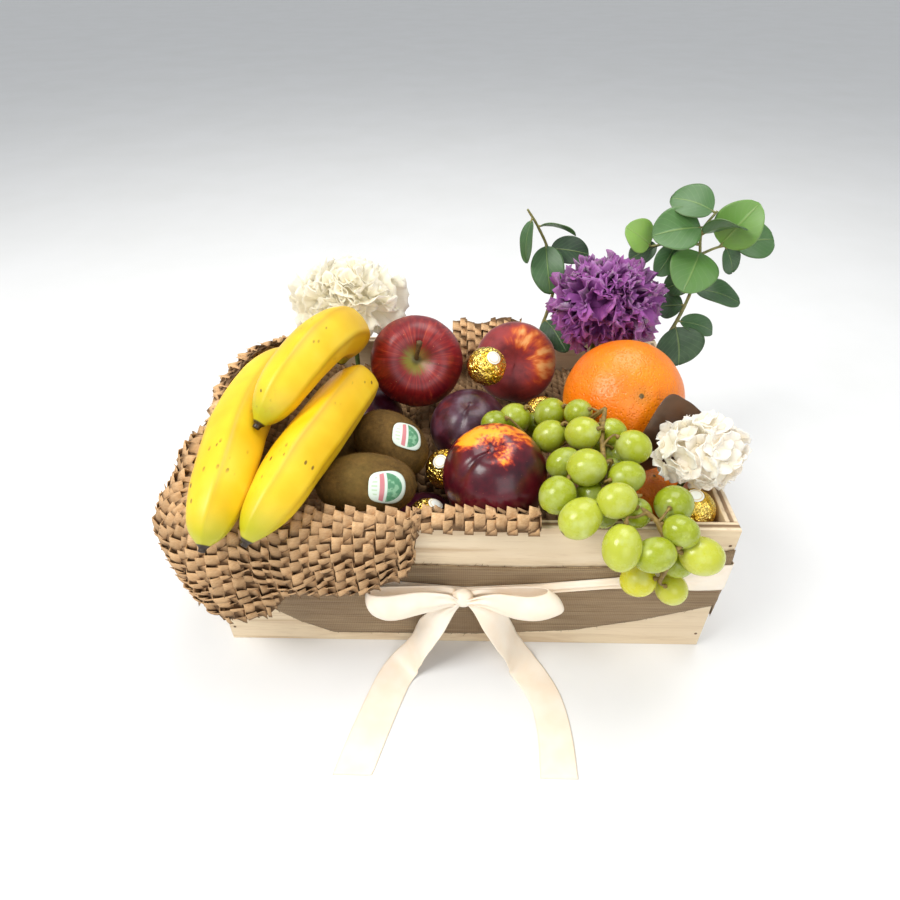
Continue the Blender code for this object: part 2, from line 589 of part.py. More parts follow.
def make_kiwis(skin, label):
    """Make the kiwis and the oval stickers on two of them."""
    for name, (centre, (length, girth), axis) in KIWIS.items():
        item = turned_solid(name, skin, ball_stations(1.0, 1.0, 9, dimple=0.03), 12)
        item.data.transform(Matrix.Diagonal((girth, girth * 0.97, length, 1)))
        place(item, centre, axis)
    for name, (kiwi, look, radius) in STICKERS.items():
        centre, (length, girth), axis = KIWIS[kiwi]
        stuck_disc(name, label, centre, (girth, girth * 0.97, length), axis, look, radius)


def stuck_disc(name, material, centre, radii, axis, look, radius):
    """Make a thin disc that follows an egg-shaped surface, just clear of it."""
    turned = turn_to(axis).to_3x3()
    look = Vector(look).normalized()
    side = look.orthogonal().normalized()
    up = look.cross(side)
    inward = turned.inverted()
    radii = Vector(radii)

    def lift(direction):
        own = inward @ direction
        reach = 1 / math.sqrt(sum((own[i] / radii[i]) ** 2 for i in range(3)))
        return Vector(centre) + direction * (reach + DISC_LIFT)

    far = (lift(look) - Vector(centre)).length
    grid = []
    for ring in range(DISC_POINTS):
        row = []
        for step in range(DISC_POINTS):
            x = 2 * ring / (DISC_POINTS - 1) - 1
            y = 2 * step / (DISC_POINTS - 1) - 1
            a = radius * x * math.sqrt(1 - y * y / 2)
            b = radius * y * math.sqrt(1 - x * x / 2)
            row.append(lift((look * far + side * a + up * b).normalized()))
        grid.append(row)
    sheet_solid(name, material, grid, DISC_THICKNESS)


def make_chocolates(gold, label, brown):
    """Make the foil balls, their round seals and one fluted cup."""
    for name, (centre, radius, look) in CHOCOLATES.items():
        def relief(_way, _angle, point):
            return 1 - 0.05 * abs(noise.noise(point * 300))
        item = turned_solid(name, gold, ball_stations(radius, 1.0, 7), 10, relief)
        place(item, centre, look or (0.3, -0.2, 0.9))
        if look:
            stuck_disc(name.replace("chocolate", "seal"), label, centre, (radius,) * 3, (0, 0, 1), look,
                       SEAL_RADIUS)
    centre, radius, _ = CHOCOLATES["chocolate_cupped"]
    inside = ((0.0, -radius - 0.0012), (0.0100, -radius - 0.0012), (0.0178, -0.0020))
    outside = ((0.0184, -0.0020), (0.0106, -radius - 0.0019), (0.0, -radius - 0.0019))
    cup = turned_solid("chocolate_cup", brown, inside + outside, 20,
                       lambda _way, angle, _point: 1 + 0.02 * math.cos(10 * angle))
    place(cup, centre, (0.15, 0.0, 0.98))


def make_bananas(peel):
    """Make the bananas: five soft ribs, a blunt dark tip and a narrow stalk."""
    for name, (radius, line) in BANANAS.items():
        path = smooth_path(line, BANANA_RINGS)
        way = np.linspace(0, 1, BANANA_RINGS)
        radii = np.interp(way, (0, 0.035, 0.12, 0.28, 0.5, 0.72, 0.86, 0.95, 1),
                          (BANANA_TIP_RADIUS, 0.0075, 0.0128, 0.93 * radius, radius, 0.95 * radius,
                           0.70 * radius, BANANA_STALK_RADIUS + 0.0015, BANANA_STALK_RADIUS))
        tube_solid(name, peel, path, radii, 10, ribs=BANANA_RIBS)


def make_grapes(skin):
    """Make the bunch: grapes fused to a branching stalk."""
    stalk = smooth_path(GRAPE_STALK, 11)
    bunch = tube_solid("grape_bunch", skin, stalk, [GRAPE_STALK_RADIUS] * len(stalk), 5)
    pieces = []
    for index, (centre, length, thickness) in enumerate(GRAPES):
        centre = np.array(centre)
        near = stalk[np.argmin(np.linalg.norm(stalk - centre, axis=1))]
        look = near - centre
        grape = turned_solid("grape", skin, ball_stations(1.0, 1.0, GRAPE_RINGS), GRAPE_SIDES)
        grape.data.transform(Matrix.Diagonal((thickness / 2, thickness / 2, length / 2, 1)))
        tilt = Vector(look).normalized() + Vector((0.4 * math.sin(index * 2.4), 0.4 * math.cos(index * 1.7), 0.5))
        place(grape, centre, tilt, index)
        pieces.append(grape)
        pieces.append(tube_solid("twig", skin, (near, centre), [GRAPE_TWIG_RADIUS] * 2, 3))
    for piece in pieces:
        bake_place(piece)
    fuse(bunch, pieces)


def bake_place(item):
    """Move an object's place into its mesh."""
    item.data.transform(item.matrix_world)
    item.matrix_world = Matrix.Identity(4)


def make_flowers(finishes):
    """Make the three flower heads on their stems."""
    for name, (centre, radii, look, foot) in FLOWERS.items():
        petals = PETAL_WAVES[name]

        def relief(way, angle, point, petals=petals):
            ruffle = math.cos(petals * angle + 9 * math.sin(way * 7)) * math.sin(way * 23)
            return 1 - 0.10 + 0.07 * ruffle + 0.06 * noise.noise(point * 3.5)

        head = turned_solid(name, finishes[name], ball_stations(1.0, 1.0, FLOWER_RINGS),
                            FLOWER_SIDES, relief)
        head.data.transform(Matrix.Diagonal((*radii, 1)))
        bake_place(place(head, centre, look))
        start = np.array(centre) - (0, 0, 0.5 * radii[2])
        stem = smooth_path([start, (start + np.array(foot)) / 2, foot], 5)
        fuse(head, [tube_solid("stem", finishes[name], stem, (0.0075, 0.0060, 0.0024, 0.0020, 0.0020), 7)])


def leaf_solid(material, base, tip, width, look):
    """Return a round leaf with a raised keel and a curl along its length."""
    base = np.array(base)
    tip = np.array(tip)
    along = tip - base
    length = np.linalg.norm(along)
    along = along / length
    look = np.array(look, float)
    look = unit(look - along * np.dot(look, along))
    side = np.cross(look, along)
    grid = []
    for share in (0.0, 0.14, 0.42, 0.78, 1.0):
        blade = max(share - 0.08, 0) / 0.92
        half = 0.0009 + width / 2 * math.sin(math.pi * min(blade ** 0.85, 1.0)) ** 0.62
        middle = base + along * length * share + look * length * 0.10 * math.sin(math.pi * share)
        grid.append([middle + side * half * s + look * (abs(s) * half * 0.16) for s in (-1.0, 0.0, 1.0)])
    return sheet_solid("leaf", material, grid, LEAF_THICKNESS)


def make_sprig(name, material, stem, twigs, leaves):
    """Make a sprig: a stem, its twigs and its leaves fused together."""
    line = smooth_path(stem, 10)
    sprig = tube_solid(name, material, line, np.linspace(0.0017, 0.0010, 10), 5)
    pieces = [tube_solid("twig", material, smooth_path(twig, 5), (0.0011,) * 5, 4) for twig in twigs]
    wood = np.vstack([smooth_path(twig, 60) for twig in (stem, *twigs)])
    for base, *blade in leaves:
        nearest = wood[np.argmin(np.linalg.norm(wood - base, axis=1))]
        pieces.append(leaf_solid(material, nearest, *blade))
    fuse(sprig, pieces)


def make_wrap(paper):
    """Make the waxed paper that stands up behind the white hydrangea."""
    foot = smooth_path([(0.124, -0.058, 0.112), (0.137, -0.050, 0.112), (0.152, -0.048, 0.113),
                        (0.163, -0.050, 0.116)], 8)
    top = smooth_path([(0.121, -0.060, 0.133), (0.1355, -0.050, 0.172), (0.150, -0.046, 0.169),
                       (0.168, -0.046, 0.154)], 8)
    grid = [[a + (b - a) * share for share in np.linspace(0, 1, 4)] for a, b in zip(foot, top)]
    sheet_solid("flower_wrap", paper, grid, WRAP_THICKNESS)


def make_bed(kraft):
    """Make the crumpled paper filling, sunk a little under everything that lies on it."""
    bpy.context.view_layer.update()
    depsgraph = bpy.context.evaluated_depsgraph_get()
    carried = []
    for item in bpy.context.scene.objects:
        if item.type == "MESH" and not item.name.startswith("crate"):
            mesh = item.evaluated_get(depsgraph).to_mesh()
            vertices = [item.matrix_world @ vertex.co for vertex in mesh.vertices]
            carried.append((vertices, [tuple(face.vertices) for face in mesh.polygons]))
    trees = [BVHTree.FromPolygons(vertices, faces) for vertices, faces in carried]
    half_x = INNER_X - GAP
    half_y = INNER_Y - GAP
    columns = int(2 * half_x / BED_STEP) + 1
    rows = int(2 * half_y / BED_STEP) + 1
    fine = 5
    heights = np.full(((columns - 1) * fine + 1, (rows - 1) * fine + 1), 1.0)
    xs = np.linspace(-half_x, half_x, heights.shape[0])
    ys = np.linspace(-half_y, half_y, heights.shape[1])
    for i, x in enumerate(xs):
        for j, y in enumerate(ys):
            level = BED_LEVEL + crumple((x, y, 0), 1.0, 0.012)
            for tree in trees:
                hit = tree.ray_cast(Vector((x, y, PLY)), Vector((0, 0, 1)))[0]
                if hit is not None:
                    level = min(level, hit.z - BED_CLEARANCE)
            heights[i, j] = level
    top = []
    for i in range(columns):
        for j in range(rows):
            window = heights[max(i * fine - fine, 0):i * fine + fine + 1, max(j * fine - fine, 0):j * fine + fine + 1]
            top.append((xs[i * fine], ys[j * fine], window.min()))
    count = len(top)
    floor = [(x, y, PLY + GAP) for x, y, _ in top]
    faces = []
    for i in range(columns - 1):
        for j in range(rows - 1):
            a = i * rows + j
            faces.append((a, a + rows, a + rows + 1, a + 1))
    outline = [i * rows for i in range(columns)]
    outline += [(columns - 1) * rows + j for j in range(1, rows)]
    outline += [i * rows + rows - 1 for i in range(columns - 2, -1, -1)]
    outline += [j for j in range(rows - 2, 0, -1)]
    for a, b in zip(outline, outline[1:] + outline[:1]):
        faces.append((b, a, a + count, b + count))
    faces.append(tuple(a + count for a in reversed(outline)))
    used = sorted({index for face in faces for index in face})
    renumber = {old: new for new, old in enumerate(used)}
    points = top + floor
    add_object("paper_bed", kraft, [points[i] for i in used],
               [tuple(renumber[i] for i in face) for face in faces])


def main():
    """Clear the scene and make every piece."""
    for item in list(bpy.data.objects):
        bpy.data.objects.remove(item)
    wood = finish("birch_ply", (0.62, 0.49, 0.35), 0.62)
    kraft = finish("kraft_paper", (0.42, 0.27, 0.15), 0.85)
    label = finish("label", (0.85, 0.86, 0.83), 0.45)
    fruit = {
        "orange": finish("orange_peel", (0.85, 0.27, 0.02), 0.42),
        "apple": finish("apple_skin", (0.30, 0.03, 0.03), 0.28),
        "peach": finish("peach_skin", (0.50, 0.13, 0.06), 0.70),
        "nectarine": finish("nectarine_skin", (0.20, 0.02, 0.03), 0.28),
        "carnation_purple": finish("purple_petals", (0.24, 0.07, 0.38), 0.75),
        "carnation_white": finish("white_petals", (0.86, 0.82, 0.72), 0.75),
        "hydrangea_white": finish("hydrangea_petals", (0.86, 0.80, 0.72), 0.75),
    }
    leaves = finish("eucalyptus_leaf", (0.07, 0.16, 0.06), 0.55)
    make_crate(wood)
    make_ribbons(finish("woven_jute", (0.33, 0.23, 0.14), 0.85), finish("cream_satin", (0.86, 0.74, 0.58), 0.38))
    make_papers(kraft)
    make_round_fruit(fruit)
    make_kiwis(finish("kiwi_skin", (0.16, 0.10, 0.05), 0.85), label)
    make_chocolates(finish("gold_foil", (0.83, 0.58, 0.18), 0.28, 1.0), label,
                    finish("brown_cup", (0.06, 0.03, 0.02), 0.60))
    make_bananas(finish("banana_peel", (0.83, 0.62, 0.08), 0.45))
    make_grapes(finish("grape_skin", (0.40, 0.50, 0.12), 0.25))
    make_flowers(fruit)
    make_sprig("eucalyptus_right", leaves, RIGHT_SPRIG, RIGHT_TWIGS, RIGHT_LEAVES)
    make_sprig("eucalyptus_left", leaves, LEFT_SPRIG, (), LEFT_LEAVES)
    make_wrap(finish("waxed_paper", (0.13, 0.06, 0.03), 0.40))
    make_bed(kraft)


main()
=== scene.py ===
"""Looks of the fruit gift basket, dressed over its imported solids.

The frame gives the plywood crate. Each food, flower, leaf, paper and ribbon solid is replaced here
by a finely made piece of the same form in the same place. Lengths are in metres, the origin is the
middle of the crate's underside, +X is to the right of its front, +Y to its back and +Z up.
"""
from __future__ import annotations

import json
import logging
import math
from dataclasses import dataclass
from enum import Enum
from functools import cache
from typing import Callable, ClassVar, Sequence

import bpy
import numpy as np
from mathutils import Matrix, Vector, noise
from mathutils.bvhtree import BVHTree

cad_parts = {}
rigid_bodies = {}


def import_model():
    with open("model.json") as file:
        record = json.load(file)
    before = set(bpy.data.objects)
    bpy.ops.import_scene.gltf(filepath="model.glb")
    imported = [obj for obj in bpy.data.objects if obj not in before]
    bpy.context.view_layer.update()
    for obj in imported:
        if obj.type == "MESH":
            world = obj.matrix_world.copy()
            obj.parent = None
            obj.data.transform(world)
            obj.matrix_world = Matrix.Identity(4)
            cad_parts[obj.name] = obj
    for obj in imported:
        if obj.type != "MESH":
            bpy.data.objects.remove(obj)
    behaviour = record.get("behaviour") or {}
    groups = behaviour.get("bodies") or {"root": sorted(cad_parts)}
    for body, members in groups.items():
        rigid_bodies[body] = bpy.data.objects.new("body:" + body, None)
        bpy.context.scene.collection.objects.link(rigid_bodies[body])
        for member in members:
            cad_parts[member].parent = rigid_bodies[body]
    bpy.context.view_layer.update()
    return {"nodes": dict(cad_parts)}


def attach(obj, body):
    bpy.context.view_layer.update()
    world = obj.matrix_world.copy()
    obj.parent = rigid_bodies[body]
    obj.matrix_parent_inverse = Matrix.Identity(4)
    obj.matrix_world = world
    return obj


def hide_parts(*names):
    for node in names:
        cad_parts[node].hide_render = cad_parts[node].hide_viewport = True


Point = tuple[float, float, float]
Colour = tuple[float, float, float, float]
Faces = list[tuple[int, ...]]
Array = np.ndarray
Item = bpy.types.Object
Material = bpy.types.Material
Socket = bpy.types.NodeSocket

LOG = logging.getLogger("fruit_gift_basket")
SEED = 11

CRATE_WIDTH = 0.35
CRATE_DEPTH = 0.246
CRATE_HEIGHT = 0.1225
PLY = 0.008
HALF_X = CRATE_WIDTH / 2
HALF_Y = CRATE_DEPTH / 2
INNER_X = HALF_X - PLY
INNER_Y = HALF_Y - PLY
GOLDEN_ANGLE = 2.39996
CLOSING_GAP = 0.003


def tint(red: int, green: int, blue: int) -> Colour:
    """Return the linear colour of a screen colour, each of whose shares runs from 0 to 255."""
    shares = [value / 255 for value in (red, green, blue)]
    linear = [s / 12.92 if s <= 0.04045 else ((s + 0.055) / 1.055) ** 2.4 for s in shares]
    return (*linear, 1.0)


def unit(vectors: Array) -> Array:
    """Return vectors scaled to length one."""
    vectors = np.asarray(vectors, float)
    return vectors / np.maximum(np.linalg.norm(vectors, axis=-1, keepdims=True), 1e-12)


def around(sides: int) -> Array:
    """Return equally spaced angles once round."""
    return np.arange(sides) * 2 * math.pi / sides


def travelled(path: Array) -> Array:
    """Return the distance along a path at each of its points."""
    return np.concatenate([[0], np.cumsum(np.linalg.norm(np.diff(path, axis=0), axis=1))])


def smooth_path(points: Sequence[Sequence[float]], count: int) -> Array:
    """Return points spread along a smooth curve.

    Args:
        points: What the curve passes through.
        count: How many points to return.

    Returns:
        The points on the curve, one a row.
    """
    points = np.array(points, float)
    padded = np.vstack([2 * points[0] - points[1], points, 2 * points[-1] - points[-2]])
    places = np.linspace(0, len(points) - 1, count)
    start = np.minimum(places.astype(int), len(points) - 2)
    t = (places - start)[:, None]
    a, b, c, d = (padded[start + step] for step in range(4))
    return 0.5 * (2 * b + (c - a) * t + (2 * a - 5 * b + 4 * c - d) * t ** 2
                  + (3 * b - a - 3 * c + d) * t ** 3)


def spread(values: Sequence[float], count: int) -> Array:
    """Return values drawn out evenly, with straight runs between them."""
    return np.interp(np.linspace(0, 1, count), np.linspace(0, 1, len(values)), values)


def turn_to(direction: Sequence[float], spin: float = 0.0) -> Matrix:
    """Return the rotation that takes +Z to a direction, after a spin about +Z."""
    turned = Vector(direction).normalized().to_track_quat("Z", "Y").to_matrix()
    return turned @ Matrix.Rotation(spin, 3, "Z")


def wobble(points: Array, scale: float, seed: float = 0.0) -> Array:
    """Return a smooth random value from -1 to 1 at each point.

    Args:
        points: Places, one a row.
        scale: How many changes there are in a metre.
        seed: A shift that gives another pattern.

    Returns:
        One value for each point.
    """
    flat = np.asarray(points, float).reshape(-1, 3) * scale + seed
    values = np.fromiter((noise.noise(Vector(spot)) for spot in flat), float, len(flat))
    return values.reshape(np.shape(points)[:-1])


def grid_faces(rows: int, columns: int, closed: bool = False, offset: int = 0) -> Faces:
    """Return the four-sided faces of a grid of points.

    Args:
        rows: How many rows of points there are.
        columns: How many points there are in a row.
        closed: Whether each row closes on itself.
        offset: The number of the grid's first point.

    Returns:
        The faces, wound so that rows up and columns right face the viewer.
    """
    faces = []
    for row in range(rows - 1):
        for column in range(columns if closed else columns - 1):
            after = (column + 1) % columns
            a = offset + row * columns
            faces.append((a + column, a + after, a + columns + after, a + columns + column))
    return faces


def lathe_faces(rings: int, sides: int) -> Faces:
    """Return the faces that join a top pole, rings of points downwards and a foot pole."""
    base = 1 + (rings - 1) * sides
    top = [(0, 1 + side, 1 + (side + 1) % sides) for side in range(sides)]
    walls = [(a, d, c, b) for a, b, c, d in grid_faces(rings, sides, True, 1)]
    foot = [(base + side, base + sides, base + (side + 1) % sides) for side in range(sides)]
    return top + walls + foot


def lathe_points(reach: Array, height: Array, sides: int, scale: Array | float = 1.0) -> Array:
    """Return a top pole, rings of points downwards and a foot pole, as lathe_faces joins them.

    Args:
        reach: Each level's distance from the axis, poles included.
        height: Each level's height.
        sides: How many points a ring has.
        scale: What each point's place is multiplied by.

    Returns:
        The points, one a row.
    """
    angle = around(sides)
    grid = np.stack([reach[:, None] * np.cos(angle), reach[:, None] * np.sin(angle),
                     np.repeat(height[:, None], sides, axis=1)], axis=2) * scale
    return np.vstack([grid[0, :1], grid[1:-1].reshape(-1, 3), grid[-1, :1]])


def ball(rings: int, sides: int) -> Array:
    """Return the points of a ball of unit radius."""
    theta = np.linspace(0, math.pi, rings + 1)
    return lathe_points(np.sin(theta), np.cos(theta), sides)


def make_mesh(name: str, vertices: Array, faces: Sequence[Sequence[int]], finish: Finish,
              fields: dict[str, Array] | None = None) -> Item:
    """Make a smoothly shaded mesh object.

    Args:
        name: The piece's name.
        vertices: Points, one a row.
        faces: The point numbers of each face.
        finish: What its surface is.
        fields: Values for each point, which materials read by name.

    Returns:
        The new object, in the scene.
    """
    mesh = bpy.data.meshes.new(name)
    mesh.from_pydata(np.asarray(vertices, float).reshape(-1, 3).tolist(), [], list(faces))
    mesh.materials.append(finish.material())
    for key, values in (fields or {}).items():
        set_field(mesh, key, values)
    mesh.shade_smooth()
    return put_in(name, mesh)


def set_field(mesh: bpy.types.Mesh, key: str, values: Array) -> None:
    """Give a mesh's points a named value or vector each."""
    values = np.asarray(values)
    whole = values.dtype.kind == "i"
    kind = "FLOAT_VECTOR" if values.ndim == 2 else "INT" if whole else "FLOAT"
    field = mesh.attributes.new(key, kind, "POINT")
    field.data.foreach_set("vector" if values.ndim == 2 else "value",
                           values.astype(np.int32 if whole else np.float32).ravel())


def put_in(name: str, data: bpy.types.ID) -> Item:
    """Make an object of some data, in the scene."""
    item = bpy.data.objects.new(name, data)
    bpy.context.scene.collection.objects.link(item)
    return item


def thicken(item: Item, thickness: float) -> Item:
    """Give a sheet its thickness, half to each side, and apply it."""
    solid = item.modifiers.new("thickness", "SOLIDIFY")
    solid.thickness = thickness
    solid.offset = 0.0
    return bake(item)


def bake(item: Item) -> Item:
    """Turn what an object's modifiers give into its plain mesh."""
    view = bpy.context.evaluated_depsgraph_get()
    mesh = bpy.data.meshes.new_from_object(item.evaluated_get(view))
    item.modifiers.clear()
    item.data = mesh
    return item


def join(name: str, items: Sequence[Item]) -> Item:
    """Join several mesh objects to one that has the first one's place."""
    with bpy.context.temp_override(active_object=items[0], object=items[0], selected_objects=list(items),
                                   selected_editable_objects=list(items)):
        bpy.ops.object.join()
    items[0].name = name
    return items[0]


def dress(item: Item, slot: str, *nodes: str) -> Item:
    """Say what a piece rides on, and hide the frame's nodes that it stands for.

    Args:
        item: The finished piece.
        slot: The record's material slot. It is not used.
        *nodes: The frame's nodes that the piece replaces.

    Returns:
        The same piece.
    """
    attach(item, "root")
    if nodes:
        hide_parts(*nodes)
    LOG.info("%s: %d faces", item.name, len(item.data.polygons))
    return item


def tube(points: Array, radii: Array, sides: int, ribs: Callable[[Array, Array], Array] | None = None
         ) -> tuple[Array, Faces]:
    """Work out a closed tube along points.

    Args:
        points: The middle line, one point a row.
        radii: The radius at each point.
        sides: How many points go round.
        ribs: Gives a scale for the radius from the way along and the angle.

    Returns:
        The points and the faces.
    """
    points = np.array(points, float)
    along = unit(np.gradient(points, axis=0))
    across = np.cross(along[0], (0.0, 0.0, 1.0))
    if np.linalg.norm(across) < 0.1:
        across = np.cross(along[0], (0.0, 1.0, 0.0))
    angles = around(sides)
    rows = [points[:1]]
    for place, middle, forward, radius in zip(np.linspace(0, 1, len(points)), points, along, radii):
        across = unit(across - forward * np.dot(across, forward))
        up = np.cross(across, forward)
        reach = radius * (ribs(place, angles) if ribs else np.ones(sides))
        circle = np.cos(angles)[:, None] * across + np.sin(angles)[:, None] * up
        rows.append(middle + reach[:, None] * circle)
    rows.append(points[-1:])
    return np.vstack(rows), lathe_faces(len(points), sides)


class Pile:
    """Points and faces that are gathered part by part into one mesh."""

    def __init__(self) -> None:
        """Start with nothing."""
        self.blocks: list[Array] = []
        self.faces: Faces = []
        self.size = 0

    def add(self, points: Array, faces: Faces) -> None:
        """Add one part's points and faces."""
        self.blocks.append(points.reshape(-1, 3))
        self.faces += [tuple(index + self.size for index in face) for face in faces]
        self.size += len(self.blocks[-1])

    def piece(self, name: str, finish: Finish, fields: dict[str, Array] | None = None) -> Item:
        """Make the mesh of everything added."""
        return make_mesh(name, np.vstack(self.blocks), self.faces, finish, fields)


def feed(tree: bpy.types.NodeTree, socket: Socket, value: object) -> None:
    """Give an input its value, or link it to the socket that gives it."""
    if isinstance(value, bpy.types.NodeSocket):
        tree.links.new(value, socket)
    else:
        socket.default_value = value


def add_node(tree: bpy.types.NodeTree, kind: str, inputs: dict, **settings: object) -> bpy.types.Node:
    """Add a node to a tree.

    Args:
        tree: The tree.
        kind: The node's type.
        inputs: Values or sockets, by the input's name or number.
        **settings: The node's own properties.

    Returns:
        The new node.
    """
    made = tree.nodes.new(kind)
    for key, value in settings.items():
        setattr(made, key, value)
    for key, value in inputs.items():
        feed(tree, made.inputs[key], value)
    return made


class Sketch:
    """One Principled material, drawn node by node. Its colour is what has been painted so far."""

    def __init__(self, name: str) -> None:
        """Start a material with this name."""
        self.material = bpy.data.materials.new(name)
        self.material.use_nodes = True
        self.tree = self.material.node_tree
        self.shader = self.tree.nodes["Principled BSDF"]
        self.colour: Socket | Colour = (1.0, 1.0, 1.0, 1.0)

    def node(self, kind: str, inputs: dict, output: int | str = 0, **settings: object) -> Socket:
        """Add a node, its type without the ShaderNode prefix, and return one of its outputs."""
        return add_node(self.tree, "ShaderNode" + kind, inputs, **settings).outputs[output]

    def place(self, stretch: Point = (1.0, 1.0, 1.0)) -> Socket:
        """Return Object coordinates, stretched."""
        return self.node("Mapping", {"Vector": self.node("TexCoord", {}, "Object"), "Scale": stretch})

    def field(self, name: str, output: str = "Fac") -> Socket:
        """Return a field of the piece's points, as a value or a vector."""
        return self.node("Attribute", {}, output, attribute_name=name)

    def part(self, vector: Socket, axis: str) -> Socket:
        """Return the X, Y or Z of a vector."""
        return self.node("SeparateXYZ", {0: vector}, axis)

    def vector(self, operation: str, a: Socket, b: Point | Socket = (0.0, 0.0, 0.0), output: int | str = 0
               ) -> Socket:
        """Return one sum on two vectors."""
        return self.node("VectorMath", {0: a, 1: b}, output, operation=operation)

    def noise(self, scale: float, detail: float = 3.0, roughness: float = 0.5, warp: float = 0.0,
              on: Socket | Point = (1.0, 1.0, 1.0)) -> Socket:
        """Return smooth noise from 0 to 1, on a vector or on stretched Object coordinates."""
        spot = on if isinstance(on, bpy.types.NodeSocket) else self.place(on)
        return self.node("TexNoise", {"Vector": spot, "Scale": scale, "Detail": detail,
                                      "Roughness": roughness, "Distortion": warp}, "Fac")

    def cells(self, scale: float, feature: str = "F1", on: Socket | Point = (1.0, 1.0, 1.0)) -> Socket:
        """Return the distance pattern of scattered cells."""
        spot = on if isinstance(on, bpy.types.NodeSocket) else self.place(on)
        return self.node("TexVoronoi", {"Vector": spot, "Scale": scale}, "Distance", feature=feature)

    def math(self, operation: str, a: object, b: object = 0.5) -> Socket:
        """Return one sum on two values or sockets."""
        return self.node("Math", {0: a, 1: b}, operation=operation)

    def times(self, a: object, b: object) -> Socket:
        """Return the product of two values or sockets."""
        return self.math("MULTIPLY", a, b)

    def nudge(self, value: Socket, by: Socket, depth: float) -> Socket:
        """Return a value moved to both sides by a noise, by up to half a depth."""
        return self.math("ADD", value, self.times(self.math("SUBTRACT", by, 0.5), depth))

    def wave(self, value: Socket, rate: float) -> Socket:
        """Return a sine wave of a value."""
        return self.math("SINE", self.times(value, rate))

    def span(self, value: Socket, low: float, high: float, to_low: float = 0.0,
             to_high: float = 1.0) -> Socket:
        """Return a value's place between two limits, smoothly and without going past them."""
        inputs = {"Value": value, "From Min": low, "From Max": high, "To Min": to_low, "To Max": to_high}
        return self.node("MapRange", inputs, interpolation_type="SMOOTHSTEP")

    def paint(self, value: Socket, *stops: tuple[float, Colour]) -> Socket:
        """Set the colour to the one at a value among stops, and return it."""
        made = add_node(self.tree, "ShaderNodeValToRGB", {0: value})
        elements = made.color_ramp.elements
        while len(elements) < len(stops):
            elements.new(0.5)
        for element, (place, colour) in zip(elements, stops):
            element.position = place
            element.color = colour
        self.colour = made.outputs[0]
        return self.colour

    def stain(self, tone: Socket | Colour, value: object, *span: float) -> None:
        """Mix a tone into the colour.

        Args:
            tone: What is mixed in.
            value: The tone's share, or what the share follows where limits are given.
            *span: The value's limits for none and for all of the tone, and the share that all is.
        """
        if span:
            value = self.span(value, *span[:2], 0.0, *span[2:])
        self.colour = self.node("Mix", {0: value, 6: self.colour, 7: tone}, 2, data_type="RGBA")

    def relief(self, height: Socket, depth: float, strength: float = 1.0) -> None:
        """Raise the surface by a height of up to a depth in metres, over what is there already."""
        inputs = {"Height": height, "Distance": depth, "Strength": strength}
        before = self.shader.inputs["Normal"].links
        if before:
            inputs["Normal"] = before[0].from_socket
        feed(self.tree, self.shader.inputs["Normal"], self.node("Bump", inputs))

    def wear(self, roughness: Socket | float, coat: tuple[float, float] = (),
             flesh: tuple[float, Point, float] = (), sheen: tuple[float, float] = (),
             **values: object) -> Material:
        """Set the shader's inputs and return the material.

        Args:
            roughness: How dull the surface is.
            coat: A clear coat's weight and roughness.
            flesh: The weight, the reach of each colour and the scale of light that passes through.
            sheen: The weight and roughness of a cloth's sheen.
            **values: Other values by input name, with _ for a space.

        Returns:
            The finished material.
        """
        values |= {"Base Color": self.colour, "Roughness": roughness}
        values |= zip(("Coat Weight", "Coat Roughness"), coat)
        values |= zip(("Subsurface Weight", "Subsurface Radius", "Subsurface Scale"), flesh)
        values |= zip(("Sheen Weight", "Sheen Roughness"), sheen)
        for key, value in values.items():
            feed(self.tree, self.shader.inputs[key.replace("_", " ")], value)
        return self.material


@dataclass(frozen=True)
class Finish:
    """A surface finish. Each kind draws its own pattern."""

    name: str

    def draw(self, pen: Sketch) -> Material:
        """Draw the finish into a sketch and return its material."""
        raise NotImplementedError

    @cache
    def material(self) -> Material:
        """Return the finish's material, made the first time it is asked for."""
        return self.draw(Sketch(self.name))


class Across(Enum):
    """The axis that a plywood panel's thickness lies along, and where the thickness starts on it."""

    X = ("X", INNER_X)
    Y = ("Y", INNER_Y)
    Z = ("Z", 0.0)


